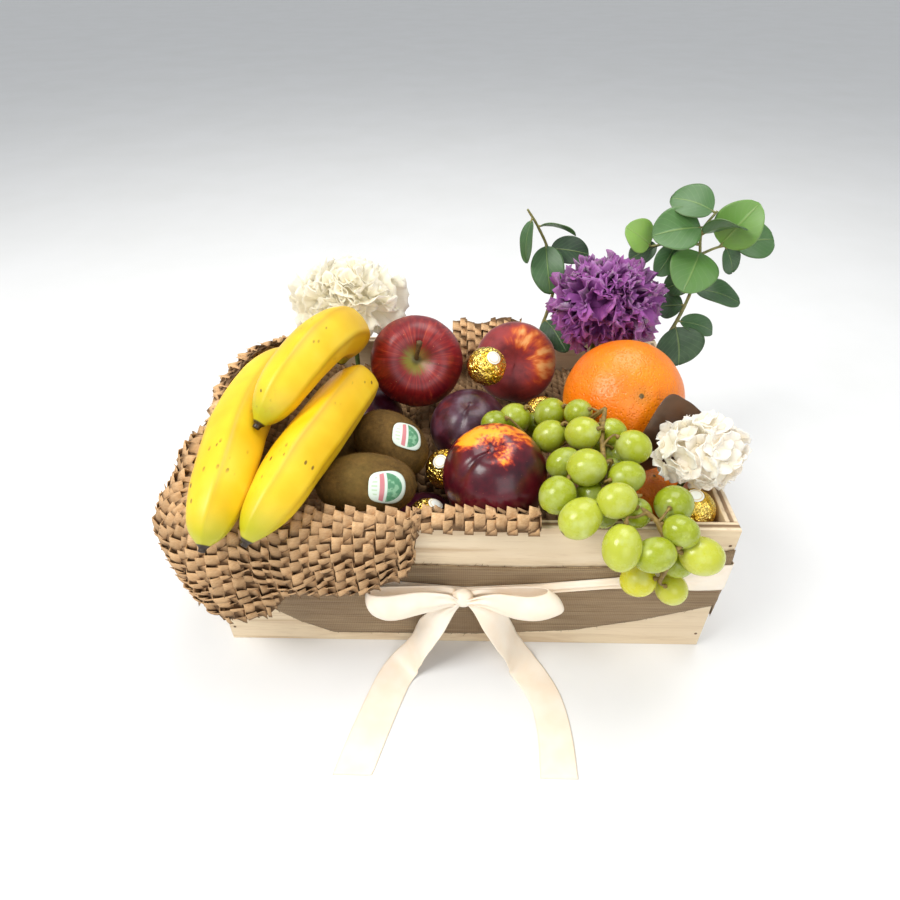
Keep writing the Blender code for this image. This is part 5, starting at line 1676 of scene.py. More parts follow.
@dataclass
class Banana:
    """One banana: soft ribs, a blunt dark tip and a narrow stalk."""

    name: str
    radius: float
    line: Sequence[Point]
    rings: int = 128
    sides: int = 60

    def build(self) -> None:
        """Make the banana."""
        share = np.linspace(0, 1, self.rings)
        way = 0.5 - 0.5 * np.cos(math.pi * share)
        line = smooth_path(self.line, 400)
        points = np.stack([np.interp(way, np.linspace(0, 1, 400), axis) for axis in line.T], axis=1)
        radius = self.radius
        radii = np.interp(
            way, (0, 0.02, 0.045, 0.08, 0.13, 0.2, 0.29, 0.39, 0.5, 0.61, 0.72, 0.8, 0.86, 0.91, 0.95, 1),
            (0.0034, 0.0048, 0.007, 0.0094, 0.0121, 0.015, 0.92 * radius, 0.985 * radius, radius,
             0.99 * radius, 0.95 * radius, 0.86 * radius, 0.7 * radius, 0.53 * radius, 0.007, 0.0058))
        smooth = np.convolve(np.pad(radii, 3, mode="edge"), np.ones(7) / 7, mode="valid")
        smooth *= np.maximum(np.sqrt(1 - np.clip(1 - (1 - way) / 0.008, 0, 1) ** 2), 0.02)
        nub = np.array((1.0, 0.97, 0.86, 0.7, 0.52, 0.34, 0.16, 0.06))
        points = np.vstack([points[0] + unit(points[0] - points[6]) * 0.0036 * nub[:, None], points])
        smooth = np.concatenate([(0.001, 0.0019, 0.0023, 0.0024, 0.0024, 0.0025, 0.0028, 0.0033), smooth])
        way = np.concatenate([0 * nub, way])
        phase = sum(ord(letter) for letter in self.name) * 0.37

        def ribs(place: float, angles: Array) -> Array:
            bent = angles + 0.1 * math.sin(5 * place + phase)
            flat = math.cos(math.pi / 5) / np.cos((bent % (2 * math.pi / 5)) - math.pi / 5)
            fade = math.sin(math.pi * min(max(place, 0.02), 0.98)) ** 0.5
            return 1 + fade * 0.6 * (flat - 0.88) + 0.01 * np.cos(2 * angles + 7 * place)

        vertices, faces = tube(points, smooth, self.sides, ribs)
        way = np.concatenate([[0.0], np.repeat(way, self.sides), [1.0]])
        turn = np.concatenate([[0.0], np.tile(around(self.sides), len(points)), [0.0]])
        edge = np.clip(np.cos(5 * turn), 0, 1) ** 7 * np.sin(math.pi * way)
        middles = np.vstack([points[:1], np.repeat(points, self.sides, axis=0), points[-1:]])
        vertices += unit(vertices - middles) * (0.00045 * wobble(vertices, 55.0, phase))[:, None]
        peel = make_mesh(f"{self.name}_peel", vertices, faces, BANANA, {"way": way, "edge": edge})
        dress(peel, "banana_peel", self.name)


@dataclass
class RoundFruit:
    """A round fruit: a ball, flattened, with a hollow at its stalk, fuller shoulders and perhaps a seam."""

    name: str
    finish: Finish
    slot: str
    centre: Point
    radius: float
    look: Point
    spin: float = 0.0
    flatness: float = 0.97
    dimple: float = 0.03
    hollow: float = 0.35
    shoulder: float = 0.0
    seam: tuple[float, float, float] = (0.0, 0.0, 0.2)
    lumps: float = 0.006
    foot: float = 0.0
    scar: float = 0.0

    def build(self) -> None:
        """Make the fruit."""
        rings, sides = 110, 112
        share = np.linspace(0, 1, rings + 1)
        theta = math.pi * (share - 0.1 * np.sin(2 * math.pi * share) / 2)
        sink = self.dimple * np.exp(-(theta / self.hollow) ** 2) - self.scar * np.exp(-(theta / 0.05) ** 2)
        rise = self.foot * np.exp(-((math.pi - theta) / 0.25) ** 2)
        at, depth, width = self.seam
        away = np.arctan2(np.sin(around(sides) - at), np.cos(around(sides) - at))
        groove = np.exp(-(away[None, :] / width) ** 2) * np.cos(theta / 2)[:, None]
        local = lathe_points(np.sin(theta) * (1 + self.shoulder * np.cos(theta)),
                             self.flatness * np.cos(theta) - sink + rise, sides,
                             (1 - depth * groove)[..., None])
        phase = len(self.name) * 3.1
        swell = 1 + self.lumps * (wobble(local, 1.3, phase) + 0.4 * wobble(local, 3.1, phase)) * 2
        turned = np.array(turn_to(self.look, self.spin))
        vertices = np.array(self.centre) + (local * swell[:, None] * self.radius) @ turned.T
        ring = np.concatenate([[0.0], np.repeat(theta[1:-1] / math.pi, sides), [1.0]])
        line = np.concatenate([[groove[0].mean()], groove[1:-1].ravel(), [0.0]])
        near = np.exp(-((line - 1) / 0.5) ** 2) * line if depth else line * 0
        fields = {"way": ring, "local": local, "seam": near}
        skin = make_mesh(f"{self.name}_skin", vertices, lathe_faces(rings - 1, sides), self.finish, fields)
        dress(skin, self.slot, self.name)


def build_stalk(apple: RoundFruit) -> None:
    """Make the short woody stalk that stands in the apple's hollow."""
    root = np.array(apple.centre) + unit(apple.look) * apple.radius * 0.44
    away = unit(apple.look)
    bend = (root, root + away * 0.008 + (0.0005, 0, 0.004), root + away * 0.011 + (0.003, 0, 0.016))
    path = smooth_path(bend, 26)
    radii = spread((0.0022, 0.0017, 0.0016, 0.0019, 0.0027), 26) * (1 + 0.16 * wobble(path, 900.0, 2.0))
    radii[[0, -1]] *= 0.55
    dress(make_mesh("apple_stalk", *tube(path, radii, 14), APPLE_WOOD), "apple_skin")


STONE_FRUIT = {"spin": -0.35, "dimple": 0.12, "hollow": 0.26, "shoulder": 0.03,
               "seam": (-math.pi / 2, 0.035, 0.16), "lumps": 0.008}
FRUIT = (
    RoundFruit("orange", ORANGE_PEEL, "orange_peel", (0.119, -0.003, 0.14), 0.045, (0.06, -0.73, 0.56),
               dimple=0.03, hollow=0.18, lumps=0.008, scar=0.012),
    RoundFruit("apple", RED_APPLE, "apple_skin", (-0.041, 0.05, 0.14), 0.038, (0.07, -0.81, 0.56), 0.4,
               0.9, 0.34, 0.42, 0.07, lumps=0.015, foot=0.1),
    RoundFruit("flat_peach", PEACH, "peach_skin", (0.042, 0.064, 0.131), 0.0345, (-0.08, -0.85, 0.52), 0.3,
               0.6, 0.3, 0.4, 0.0, (-2.0, 0.06, 0.22), 0.012, 0.12),
    RoundFruit("nectarine_front", NECTARINE, "nectarine_skin", (0.02, -0.0785, 0.128), 0.0355,
               (-0.15, -0.26, 0.97), scar=0.02, **STONE_FRUIT),
    RoundFruit("nectarine_dark", NECTARINE_RED, "nectarine_skin", (0.003, -0.001, 0.11), 0.031,
               (0.0, -0.15, 0.98), scar=0.02, **STONE_FRUIT),
    RoundFruit("plum_low", PLUM, "nectarine_skin", (-0.03, -0.068, 0.07), 0.024, (0.2, 0.1, 0.97),
               **STONE_FRUIT),
    RoundFruit("plum_back", PLUM, "nectarine_skin", (-0.08, 0.042, 0.088), 0.026, (-0.3, 0.1, 0.95),
               **STONE_FRUIT),
    RoundFruit("mandarin", MANDARIN_PEEL, "orange_peel", (0.138, -0.042, 0.082), 0.0265, (0.1, -0.3, 0.95),
               0.0, 0.88, 0.05, 0.35, lumps=0.01, scar=0.02),
)


def stuck_label(name: str, node: str, finish: Finish, centre: Point, radii: Point, axis: Point, look: Point,
                radius: float, side: Point, power: float = 2.0, squash: float = 1.0,
                lift: float = 0.0006) -> Item:
    """Make a thin label that follows an egg-shaped surface.

    Args:
        name: The piece's name.
        node: The frame's node that it replaces.
        finish: The label's finish.
        centre: The middle of the egg.
        radii: Its three radii.
        axis: The direction of its third radius.
        look: The way that the label faces.
        radius: The label's own radius.
        side: A direction near to the label's width.
        power: 2 gives a round outline and more gives a squarer one.
        squash: The label's height over its width.
        lift: How far it is off the surface.

    Returns:
        The label.
    """
    turned = np.array(turn_to(axis))
    look = unit(look)
    right = unit(np.array(side) - look * np.dot(side, look))
    up = np.cross(look, right)
    rings, sides = 14, 72
    angle = around(sides)

    def on_surface(directions: Array) -> Array:
        own = directions @ turned
        reach = 1 / np.sqrt(((own / np.array(radii)) ** 2).sum(axis=1))
        return np.array(centre) + directions * (reach + lift)[:, None]

    far = np.linalg.norm(on_surface(look[None, :])[0] - centre)
    outline = (np.abs(np.cos(angle)) ** power + np.abs(np.sin(angle)) ** power) ** (-1 / power)
    share = np.arange(rings + 1)[:, None] / rings
    grid = np.stack([share * outline * np.cos(angle), share * outline * np.sin(angle) * squash], axis=2)
    flat = np.vstack([grid[0, :1], grid[1:].reshape(-1, 2)])
    places = look * far + flat[:, :1] * right * radius + flat[:, 1:] * up * radius
    faces = [(0, 1 + i, 1 + (i + 1) % sides) for i in range(sides)]
    faces += [tuple(reversed(face)) for face in grid_faces(rings, sides, True, 1)]
    label = np.column_stack([flat, np.zeros(len(flat))])
    item = thicken(make_mesh(name, on_surface(unit(places)), faces, finish, {"label": label}), 0.0003)
    return dress(item, "label", node)


@dataclass
class Kiwi:
    """One kiwi: a brown egg with blunt ends, under short hair."""

    name: str
    centre: Point
    length: float
    girth: float
    axis: Point

    def radii(self) -> Point:
        """Return the kiwi's three radii, its long one last."""
        return (self.girth, 0.97 * self.girth, self.length)

    def build(self, fuzz: Fuzz) -> None:
        """Make the skin and its hair."""
        rings, sides = 84, 88
        theta = np.linspace(0, math.pi, rings + 1)
        sink = 0.03 * np.exp(-(theta / 0.3) ** 2) - 0.035 * np.exp(-(theta / 0.1) ** 2)
        nub = 0.03 * np.exp(-((math.pi - theta) / 0.12) ** 2)
        local = lathe_points(np.sin(theta), np.cos(theta) - sink - nub * 0.4, sides)
        swell = 1 + 0.012 * wobble(local, 1.6, self.centre[0] * 40)
        vertices = (local * swell[:, None] * np.array(self.radii())) @ np.array(turn_to(self.axis)).T
        vertices += np.array(self.centre)
        skin = make_mesh(f"{self.name}_skin", vertices, lathe_faces(rings - 1, sides), KIWI_SKIN)
        dress(skin, "kiwi_skin", self.name)
        dress(fuzz.grow(f"{self.name}_hair", skin, KIWI_HAIR, 900000.0, 0.0011), "kiwi_skin")


KIWIS = {
    "kiwi_front": Kiwi("kiwi_front", (-0.0675, -0.0855, 0.1242), 0.0345, 0.0222, (1.0, 0.06, -0.05)),
    "kiwi_back": Kiwi("kiwi_back", (-0.056, -0.0325, 0.118), 0.031, 0.0232, (0.8, -0.5, -0.32)),
    "kiwi_hidden": Kiwi("kiwi_hidden", (-0.1, -0.006, 0.097), 0.028, 0.0215, (0.25, 0.95, 0.1)),
}


def build_kiwis(fuzz: Fuzz) -> None:
    """Make the three kiwis and the labels on two of them."""
    for kiwi in KIWIS.values():
        kiwi.build(fuzz)
    for name, look, radius, side in (("front", (0.62, -0.62, 0.48), 0.0128, (0.93, 0.25, -0.25)),
                                     ("back", (0.56, -0.44, 0.7), 0.0118, (0.95, 0.1, -0.3))):
        kiwi = KIWIS[f"kiwi_{name}"]
        stuck_label(f"label_{name}", f"sticker_{name}", FRUIT_LABEL, kiwi.centre, kiwi.radii(), kiwi.axis,
                    look, radius, side, 3.4, 0.92, 0.0009)


@dataclass
class Chocolate:
    """A foil-wrapped ball with a round paper seal."""

    name: str
    centre: Point
    radius: float
    look: Point | None

    def build(self) -> None:
        """Make the ball of crumpled foil and its seal."""
        rings, sides = 90, 120
        local = ball(rings, sides)
        seed = self.centre[0] * 1000
        folds = sum(share * np.abs(wobble(local, scale, seed))
                    for share, scale in ((1, 2.6), (0.5, 6.0), (0.3, 13.0)))
        turned = np.array(turn_to(self.look or (0.3, -0.2, 0.9)))
        calm = np.ones(len(local))
        if self.look:
            calm = np.clip((np.arccos(np.clip(local[:, 2], -1, 1)) - 0.3) / 0.25, 0.15, 1)
        cells = [noise.voronoi(Vector(spot * 3.6 + seed))[0] for spot in local]
        crease = np.array([np.exp(-(pair[1] - pair[0]) / 0.1) for pair in cells])
        reach = self.radius * (1.005 - (0.07 * folds + 0.045 * crease) * calm)
        vertices = np.array(self.centre) + (local * reach[:, None]) @ turned.T
        foil = make_mesh(f"{self.name}_foil", vertices, lathe_faces(rings - 1, sides), GOLD_FOIL)
        dress(foil, "gold_foil", self.name)
        if self.look:
            seal = self.name.replace("chocolate", "seal")
            stuck_label(f"{seal}_label", seal, SEAL_LABEL, self.centre, (self.radius * 0.995,) * 3, (0, 0, 1),
                        self.look, 0.0056, (1, 0.2, 0))


CHOCOLATES = (
    Chocolate("chocolate_top", (0.016, 0.022, 0.153), 0.0155, (0.3, -0.48, 0.76)),
    Chocolate("chocolate_middle", (-0.0145, -0.046, 0.105), 0.0155, (-0.26, -0.44, 0.86)),
    Chocolate("chocolate_front", (-0.026, -0.095, 0.101), 0.0152, (0.41, 0.08, 0.96)),
    Chocolate("chocolate_right", (0.1515, -0.0995, 0.118), 0.0145, (-0.15, -0.1, 0.99)),
    Chocolate("chocolate_cupped", (0.062, 0.017, 0.111), 0.015, None),
)


def build_cup() -> None:
    """Make the fluted paper cup under the half hidden chocolate."""
    centre, radius = CHOCOLATES[-1].centre, CHOCOLATES[-1].radius
    low = -radius - 0.0015
    sides, rows = 224, 16
    angle = around(sides)
    flute = np.abs(((angle * 28 / (2 * math.pi)) % 1) - 0.5) * 4 - 1
    reach = np.concatenate([np.linspace(0.0015, 0.01, 6), np.linspace(0.0108, 0.0182, rows - 6)])
    height = np.concatenate([np.full(6, low), np.linspace(low + 0.0004, -0.0018, rows - 6)])
    swing = 0.0009 * np.maximum(np.arange(rows) - 5, 0) / (rows - 6)
    wide = reach[:, None] + swing[:, None] * flute
    grid = np.stack([wide * np.cos(angle), wide * np.sin(angle), np.repeat(height[:, None], sides, axis=1)],
                    axis=2)
    points = np.vstack([[(0, 0, low)], grid.reshape(-1, 3)])
    faces = [(0, 1 + (i + 1) % sides, 1 + i) for i in range(sides)] + grid_faces(rows, sides, True, 1)
    turned = np.array(turn_to((0.15, 0.0, 0.98)))
    cup = make_mesh("chocolate_cup_paper", np.array(centre) + points @ turned.T, faces, CUP_PAPER)
    dress(thicken(cup, 0.00022), "brown_cup", "chocolate_cup")


GRAPES = (
    ((0.036, -0.021, 0.133), 0.026, 0.024), ((0.021, -0.034, 0.139), 0.021, 0.019),
    ((0.052, -0.013, 0.122), 0.022, 0.02), ((0.062, -0.024, 0.141), 0.025, 0.023),
    ((0.058, -0.055, 0.144), 0.025, 0.022), ((0.078, -0.067, 0.156), 0.025, 0.023),
    ((0.079, -0.039, 0.153), 0.021, 0.019), ((0.099, -0.063, 0.154), 0.021, 0.019),
    ((0.109, -0.081, 0.156), 0.024, 0.022), ((0.098, -0.057, 0.135), 0.022, 0.019),
    ((0.104, -0.072, 0.141), 0.021, 0.019), ((0.064, -0.086, 0.146), 0.024, 0.02),
    ((0.076, -0.1, 0.154), 0.026, 0.024), ((0.101, -0.104, 0.15), 0.025, 0.021),
    ((0.095, -0.087, 0.139), 0.021, 0.019), ((0.057, -0.115, 0.144), 0.025, 0.023),
    ((0.08, -0.106, 0.136), 0.021, 0.019), ((0.09, -0.129, 0.153), 0.025, 0.022),
    ((0.086, -0.122, 0.137), 0.021, 0.019), ((0.069, -0.134, 0.143), 0.029, 0.024),
    ((0.105, -0.125, 0.139), 0.022, 0.019), ((0.129, -0.119, 0.141), 0.028, 0.024),
    ((0.128, -0.14, 0.139), 0.023, 0.02), ((0.092, -0.15, 0.135), 0.029, 0.024),
    ((0.112, -0.151, 0.13), 0.026, 0.021), ((0.143, -0.145, 0.123), 0.029, 0.024),
    ((0.133, -0.138, 0.108), 0.022, 0.019), ((0.111, -0.1395, 0.093), 0.024, 0.021),
    ((0.134, -0.1395, 0.085), 0.024, 0.021),
)
GRAPE_STALK = (
    (0.094, -0.052, 0.166), (0.09, -0.07, 0.158), (0.089, -0.09, 0.152), (0.09, -0.108, 0.145),
    (0.1, -0.125, 0.148), (0.115, -0.137, 0.142), (0.122, -0.148, 0.122), (0.122, -0.146, 0.1),
)
# Each grape's tint, from dark olive to light yellow-green: partly its own colour and partly painted light and
# shade.
GRAPE_TINTS_LIT_AND_SHADED = (0.35, 0.15, 0.1, 0.3, 0.42, 0.55, 0.3, 0.35, 0.45, 0.15, 0.2, 0.3, 0.5, 0.35, 0.15, 0.35,
               0.1, 0.6, 0.15, 0.62, 0.2, 0.18, 0.3, 0.66, 0.35, 0.75, 0.3, 0.92, 0.8)


class GrapeBunch:
    """A bunch of green grapes on its branching stalk."""

    def build(self, scatter: Scatter) -> None:
        """Make the grapes, and the stalk with a short stem to each."""
        stem = smooth_path(GRAPE_STALK, 160)
        wood = Pile()
        wood.add(*tube(stem, 0.0016 * (1 + 0.22 * wobble(stem, 240.0)), 12))
        turns, sizes = [], []
        for index, (centre, length, thick) in enumerate(GRAPES):
            centre = np.array(centre)
            near = stem[np.argmin(np.linalg.norm(stem - centre, axis=1))]
            lean = unit(near - centre) + (0.4 * math.sin(index * 2.4), 0.4 * math.cos(index * 1.7), 0.5)
            turns.append(turn_to(lean, index))
            sizes.append((thick / 2, thick / 2, length / 2))
            wood.add(*self.twig(near, centre, np.array(turns[-1].col[2]) * length))
        dress(wood.piece("grape_stalks", GRAPE_WOOD), "grape_skin")
        spots = Spots(np.array([grape[0] for grape in GRAPES]), turns, np.array(sizes),
                      np.arange(len(GRAPES)) % 3, np.array(GRAPE_TINTS_LIT_AND_SHADED))
        parts = [self.grape(kind) for kind in range(3)]
        dress(scatter.set_out("grapes", spots, parts, GRAPE), "grape_skin", "grape_bunch")

    def twig(self, near: Array, centre: Array, upward: Array) -> tuple[Array, Faces]:
        """Return the twig from the stalk to the top of a grape, along the grape's own length."""
        top = centre + upward * 0.475
        out = centre + upward * 0.72
        sag = np.array((0, 0, 0.42 * max(float(np.linalg.norm(near - centre)) - 0.018, 0)))
        path = smooth_path((near, near * 0.45 + out * 0.55 - sag, out * 0.6 + top * 0.4, top), 16)
        radii = np.interp(np.linspace(0, 1, 16), (0, 0.2, 0.75, 0.92, 1),
                          (0.0013, 0.0009, 0.0008, 0.0017, 0.0013))
        return tube(path, radii, 8)

    def grape(self, kind: int) -> Item:
        """Make one grape of unit radius, with a small hollow at its stem."""
        rings, sides = 34, 40
        theta = np.linspace(0, math.pi, rings + 1)
        reach = np.sin(theta) * (1 + (0.03, -0.02, 0.0)[kind] * np.cos(theta))
        height = np.cos(theta) - 0.05 * np.exp(-(theta / 0.2) ** 2)
        height += 0.012 * np.exp(-((math.pi - theta) / 0.08) ** 2)
        local = lathe_points(reach, height, sides) * (1, (1, 0.98, 0.96)[kind], 1)
        local *= (1 + 0.012 * wobble(local, 1.4, kind * 5.0))[:, None]
        return make_mesh("one_grape", local, lathe_faces(rings - 1, sides), GRAPE, {"local": unit(local)})


def fan_grid(out: Array, fan: Array, x: Array, y: Array, z: Array) -> tuple[Array, dict[str, Array]]:
    """Return a petal's grid of points, and its out and fan fields."""
    grid = np.stack(np.broadcast_arrays(x, y, z), axis=2)
    return grid, {"out": np.broadcast_to(out, grid.shape[:2]).ravel(),
                  "fan": np.broadcast_to(fan, grid.shape[:2]).ravel()}


@dataclass
class Flower:
    """A flower head: small parts that stand out from a closed heart, and a stem."""

    name: str
    finish: Finish
    slot: str
    centre: Point
    radii: Point
    look: Point
    foot: Point
    count: int
    seed: int
    word: ClassVar[str] = "petals"
    kinds: ClassVar[int] = 4
    heart: ClassVar[float] = 0.55

    def part(self, kind: int) -> Item:
        """Make one of the parts, of unit size."""
        raise NotImplementedError

    def spot(self, index: int, random: np.random.Generator) -> tuple[Array, Matrix, Sequence[float]]:
        """Return the place, the turn and the size of one part."""
        raise NotImplementedError

    def level(self, index: int, random: np.random.Generator, drop: float) -> tuple[float, float, float]:
        """Return a part's height and angle on a unit ball, by a spiral, and its distance from the axis."""
        height = 1 - (index + 0.5) / self.count * drop
        angle = index * GOLDEN_ANGLE + random.uniform(-0.2, 0.2)
        return height, angle, math.sqrt(max(1 - height ** 2, 0))

    def build(self, scatter: Scatter) -> None:
        """Make the head and its stem."""
        random = np.random.default_rng(self.seed)
        places, turns, sizes = zip(*(self.spot(index, random) for index in range(self.count)))
        spots = Spots(np.array(places), turns, np.array(sizes), np.arange(self.count) % self.kinds,
                      random.uniform(0, 1, self.count))
        parts = [self.part(kind) for kind in range(self.kinds)]
        item = scatter.set_out(f"{self.name}_{self.word}", spots, parts, self.finish)
        dress(join(item.name, [item, self.middle()]), self.slot, self.name)
        self.stem()

    def middle(self) -> Item:
        """Make the closed heart that the parts stand on."""
        rings, sides = 16, 24
        local = ball(rings, sides) * np.array(self.radii) * self.heart
        points = np.array(self.centre) + local @ np.array(turn_to(self.look)).T
        zero = np.zeros(len(points))
        return make_mesh("flower_heart", points, lathe_faces(rings - 1, sides), self.finish,
                         {"out": zero, "fan": zero, "own": zero + 0.5})

    def stem(self) -> None:
        """Make the green cup and the stem down to its foot."""
        start = np.array(self.centre) - (0, 0, 0.3 * self.radii[2])
        path = smooth_path([start, (start + np.array(self.foot)) / 2, self.foot], 30)
        radii = np.interp(np.linspace(0, 1, 30), (0, 0.22, 0.36, 0.5, 1),
                          (0.0078, 0.0066, 0.004, 0.0022, 0.002))
        dress(make_mesh(f"{self.name}_stem", *tube(path, radii, 20), STEM_GREEN), self.slot)


@dataclass
class Carnation(Flower):
    """A full flower head of ragged, ruffled petals."""

    ragged: float = 0.2

    def part(self, kind: int) -> Item:
        """Make one fan-shaped petal of unit length with a toothed, waved edge."""
        rows, columns = 11, 21
        random = np.random.default_rng(self.seed * 10 + kind)
        out = np.linspace(0, 1, rows)[:, None]
        fan = np.linspace(-1, 1, columns)[None, :]
        teeth = 1 - self.ragged * np.abs(np.sin(fan * 11 + kind)) * (0.25 + random.random((1, columns)))
        teeth -= 0.16 * fan ** 2
        half = 0.07 + 0.5 * out ** 1.1
        reach = out * (1 + (teeth - 1) * out ** 2)
        ripple = np.sin(fan * (3.4 + 0.9 * kind) + kind * 2.1) * 0.11 + 0.035 * np.sin(fan * 10.5 + kind)
        x = half * np.sin(fan * 1.05) / 0.87
        y = ripple * out ** 1.6 + (0.12 + 0.07 * kind) * out ** 2.4 - 0.1 * (1 - np.cos(fan)) * out
        grid, fields = fan_grid(out, fan, x, y, reach - 0.1 * out ** 3)
        return thicken(make_mesh("one_petal", grid, grid_faces(rows, columns), self.finish, fields), 0.007)

    def spot(self, index: int, random: np.random.Generator) -> tuple[Array, Matrix, Sequence[float]]:
        """Return the place, the turn and the size of one petal."""
        turned = np.array(turn_to(self.look))
        height, angle, flat = self.level(index, random, 1.42)
        slim = flat * (1 - 0.3 * height)
        way = unit(np.array((slim * math.cos(angle), slim * math.sin(angle), height)))
        reach = (1.12 if height < 0.1 else 1.0) / np.linalg.norm(way / np.array(self.radii))
        place = np.array(self.centre) + turned @ (way * reach * 0.16)
        lean = unit(way + random.uniform(-0.28, 0.28, 3))
        turn = turn_to(turned @ lean, random.uniform(0, 2 * math.pi))
        length = reach * random.uniform(0.74, 0.98)
        broad = length * random.uniform(0.78, 1.1)
        return place, turn, (broad, broad, length)


@dataclass
class Hydrangea(Flower):
    """A head of small white four-petalled flowers."""

    word: ClassVar[str] = "florets"
    kinds: ClassVar[int] = 3
    heart: ClassVar[float] = 0.6

    def part(self, kind: int) -> Item:
        """Make one floret of unit size: four cupped round petals and a small eye."""
        rows, columns = 8, 11
        out = np.linspace(0.06, 1, rows)[:, None]
        fan = np.linspace(-1, 1, columns)[None, :]
        parts = []
        for quarter in range(4):
            half = 0.4 * np.sin(math.pi * out ** 0.9 * 0.8 + 0.12)
            z = 0.1 * np.sin(math.pi * out) * (1 - fan ** 2) + 0.14 * out
            z += 0.05 * np.sin(fan * 3 + kind + quarter) * out
            y = out * 0.62 * (1 - 0.12 * fan ** 2 * out)
            grid, fields = fan_grid(out, fan, half * fan, y, z + 0.16 * fan ** 2 * out)
            spin = Matrix.Rotation(quarter * math.pi / 2 + 0.15 * math.sin(kind + quarter * 2), 3, "Z")
            petal = make_mesh("one_petal", grid @ np.array(spin).T, grid_faces(rows, columns), self.finish,
                              fields)
            parts.append(thicken(petal, 0.022))
        eye, faces = tube(np.array([(0, 0, -0.04), (0, 0, 0.02), (0, 0, 0.09)]), (0.05, 0.075, 0.045), 8)
        fields = {"out": np.zeros(len(eye)), "fan": np.zeros(len(eye))}
        parts.append(make_mesh("one_eye", eye, faces, self.finish, fields))
        return join("one_floret", parts)

    def spot(self, index: int, random: np.random.Generator) -> tuple[Array, Matrix, Sequence[float]]:
        """Return the place, the turn and the size of one floret."""
        turned = np.array(turn_to(self.look))
        height, angle, flat = self.level(index, random, 1.62)
        way = unit(np.array((flat * math.cos(angle), flat * math.sin(angle), height)))
        reach = 1 / np.linalg.norm(way / (np.array(self.radii) * 0.9))
        place = np.array(self.centre) + turned @ (way * reach * random.uniform(0.8, 1.0))
        lean = turned @ unit(way + random.uniform(-0.75, 0.75, 3))
        turn = turn_to(lean, random.uniform(0, 2 * math.pi))
        return place, turn, np.full(3, random.uniform(0.0135, 0.0175))


FLOWERS = (
    Carnation("carnation_purple", PURPLE_PETAL, "purple_petals", (0.111, 0.066, 0.186), (0.046, 0.036, 0.037),
              (0.1, -0.35, 0.93), (0.104, 0.074, 0.106), 120, 3),
    Carnation("carnation_white", CREAM_PETAL, "white_petals", (-0.098, 0.091, 0.178), (0.045, 0.032, 0.029),
              (-0.05, -0.3, 0.95), (-0.098, 0.092, 0.108), 130, 4, 0.07),
    Hydrangea("hydrangea_white", WHITE_PETAL, "hydrangea_petals", (0.155, -0.076, 0.149),
              (0.03, 0.0235, 0.021), (0.05, -0.35, 0.93), (0.15, -0.07, 0.108), 50, 5),
)


def build_wrap() -> None:
    """Make the brown waxed paper that stands up behind the white flower."""
    columns, rows = 60, 34
    foot = smooth_path([(0.117, -0.061, 0.112), (0.137, -0.05, 0.112), (0.152, -0.048, 0.113),
                        (0.163, -0.05, 0.116)], columns)
    top = smooth_path([(0.115, -0.062, 0.138), (0.1335, -0.05, 0.173), (0.15, -0.046, 0.169),
                       (0.168, -0.046, 0.154)], columns)
    share = np.linspace(0, 1, rows)
    grid = foot[:, None] + (top - foot)[:, None] * share[None, :, None]
    crease = 0.0012 * wobble(grid * (1.0, 1.0, 0.4), 70.0, 3.0)
    bow = 0.0016 * np.sin(math.pi * share)[None, :] * np.cos(np.linspace(0, 9, columns))[:, None]
    grid[..., 1] += crease * 0.8 + bow * 0.4
    item = thicken(make_mesh("flower_wrap_paper", grid, grid_faces(columns, rows), WAX_PAPER), 0.0004)
    dress(item, "waxed_paper", "flower_wrap")


RIGHT_SPRIG = (
    (0.15, 0.062, 0.108), (0.16, 0.068, 0.136), (0.175, 0.078, 0.163), (0.184, 0.086, 0.187),
    (0.185, 0.087, 0.212), (0.181, 0.086, 0.236), (0.19, 0.089, 0.251),
)
RIGHT_TWIGS = (
    ((0.184, 0.086, 0.218), (0.197, 0.088, 0.223), (0.209, 0.09, 0.224)),
    ((0.183, 0.086, 0.226), (0.164, 0.089, 0.226), (0.145, 0.092, 0.222)),
)
# Each leaf: base, tip, width, the way it faces and its tone; the tone is partly its own colour and partly
# painted light and shade.
RIGHT_LEAVES = (
    ((0.189, 0.089, 0.25), (0.158, 0.106, 0.255), 0.03, (0.1, -0.6, 0.8), 0.5),
    ((0.182, 0.086, 0.24), (0.142, 0.082, 0.234), 0.032, (-0.1, -0.7, 0.7), 0.55),
    ((0.198, 0.088, 0.223), (0.217, 0.082, 0.259), 0.033, (-0.2, -0.8, 0.6), 0.85),
    ((0.181, 0.085, 0.233), (0.204, 0.062, 0.247), 0.026, (0.0, 0.6, 0.8), 0.45),
    ((0.184, 0.085, 0.222), (0.168, 0.06, 0.198), 0.035, (0.0, -0.7, 0.7), 0.72),
    ((0.208, 0.09, 0.223), (0.243, 0.097, 0.226), 0.029, (0.0, -0.7, 0.7), 0.5),
    ((0.203, 0.089, 0.223), (0.215, 0.091, 0.201), 0.015, (0.2, -0.9, 0.4), 0.25),
    ((0.164, 0.089, 0.225), (0.151, 0.08, 0.203), 0.019, (0.2, -0.9, 0.4), 0.4),
    ((0.146, 0.092, 0.222), (0.123, 0.09, 0.238), 0.024, (-0.2, -0.7, 0.7), 0.95),
    ((0.152, 0.091, 0.223), (0.134, 0.106, 0.205), 0.016, (0.0, -0.8, 0.6), 0.15),
    ((0.185, 0.087, 0.2), (0.165, 0.095, 0.184), 0.018, (0.1, -0.8, 0.6), 0.2),
    ((0.184, 0.086, 0.188), (0.223, 0.078, 0.18), 0.024, (0.0, -0.35, 0.93), 0.3),
    ((0.179, 0.082, 0.176), (0.165, 0.099, 0.166), 0.02, (0.0, -0.8, 0.6), 0.2),
    ((0.173, 0.077, 0.162), (0.182, 0.068, 0.1275), 0.04, (0.1, -0.8, 0.55), 0.15),
    ((0.175, 0.079, 0.165), (0.213, 0.092, 0.147), 0.016, (0.0, -0.7, 0.7), 0.35),
)
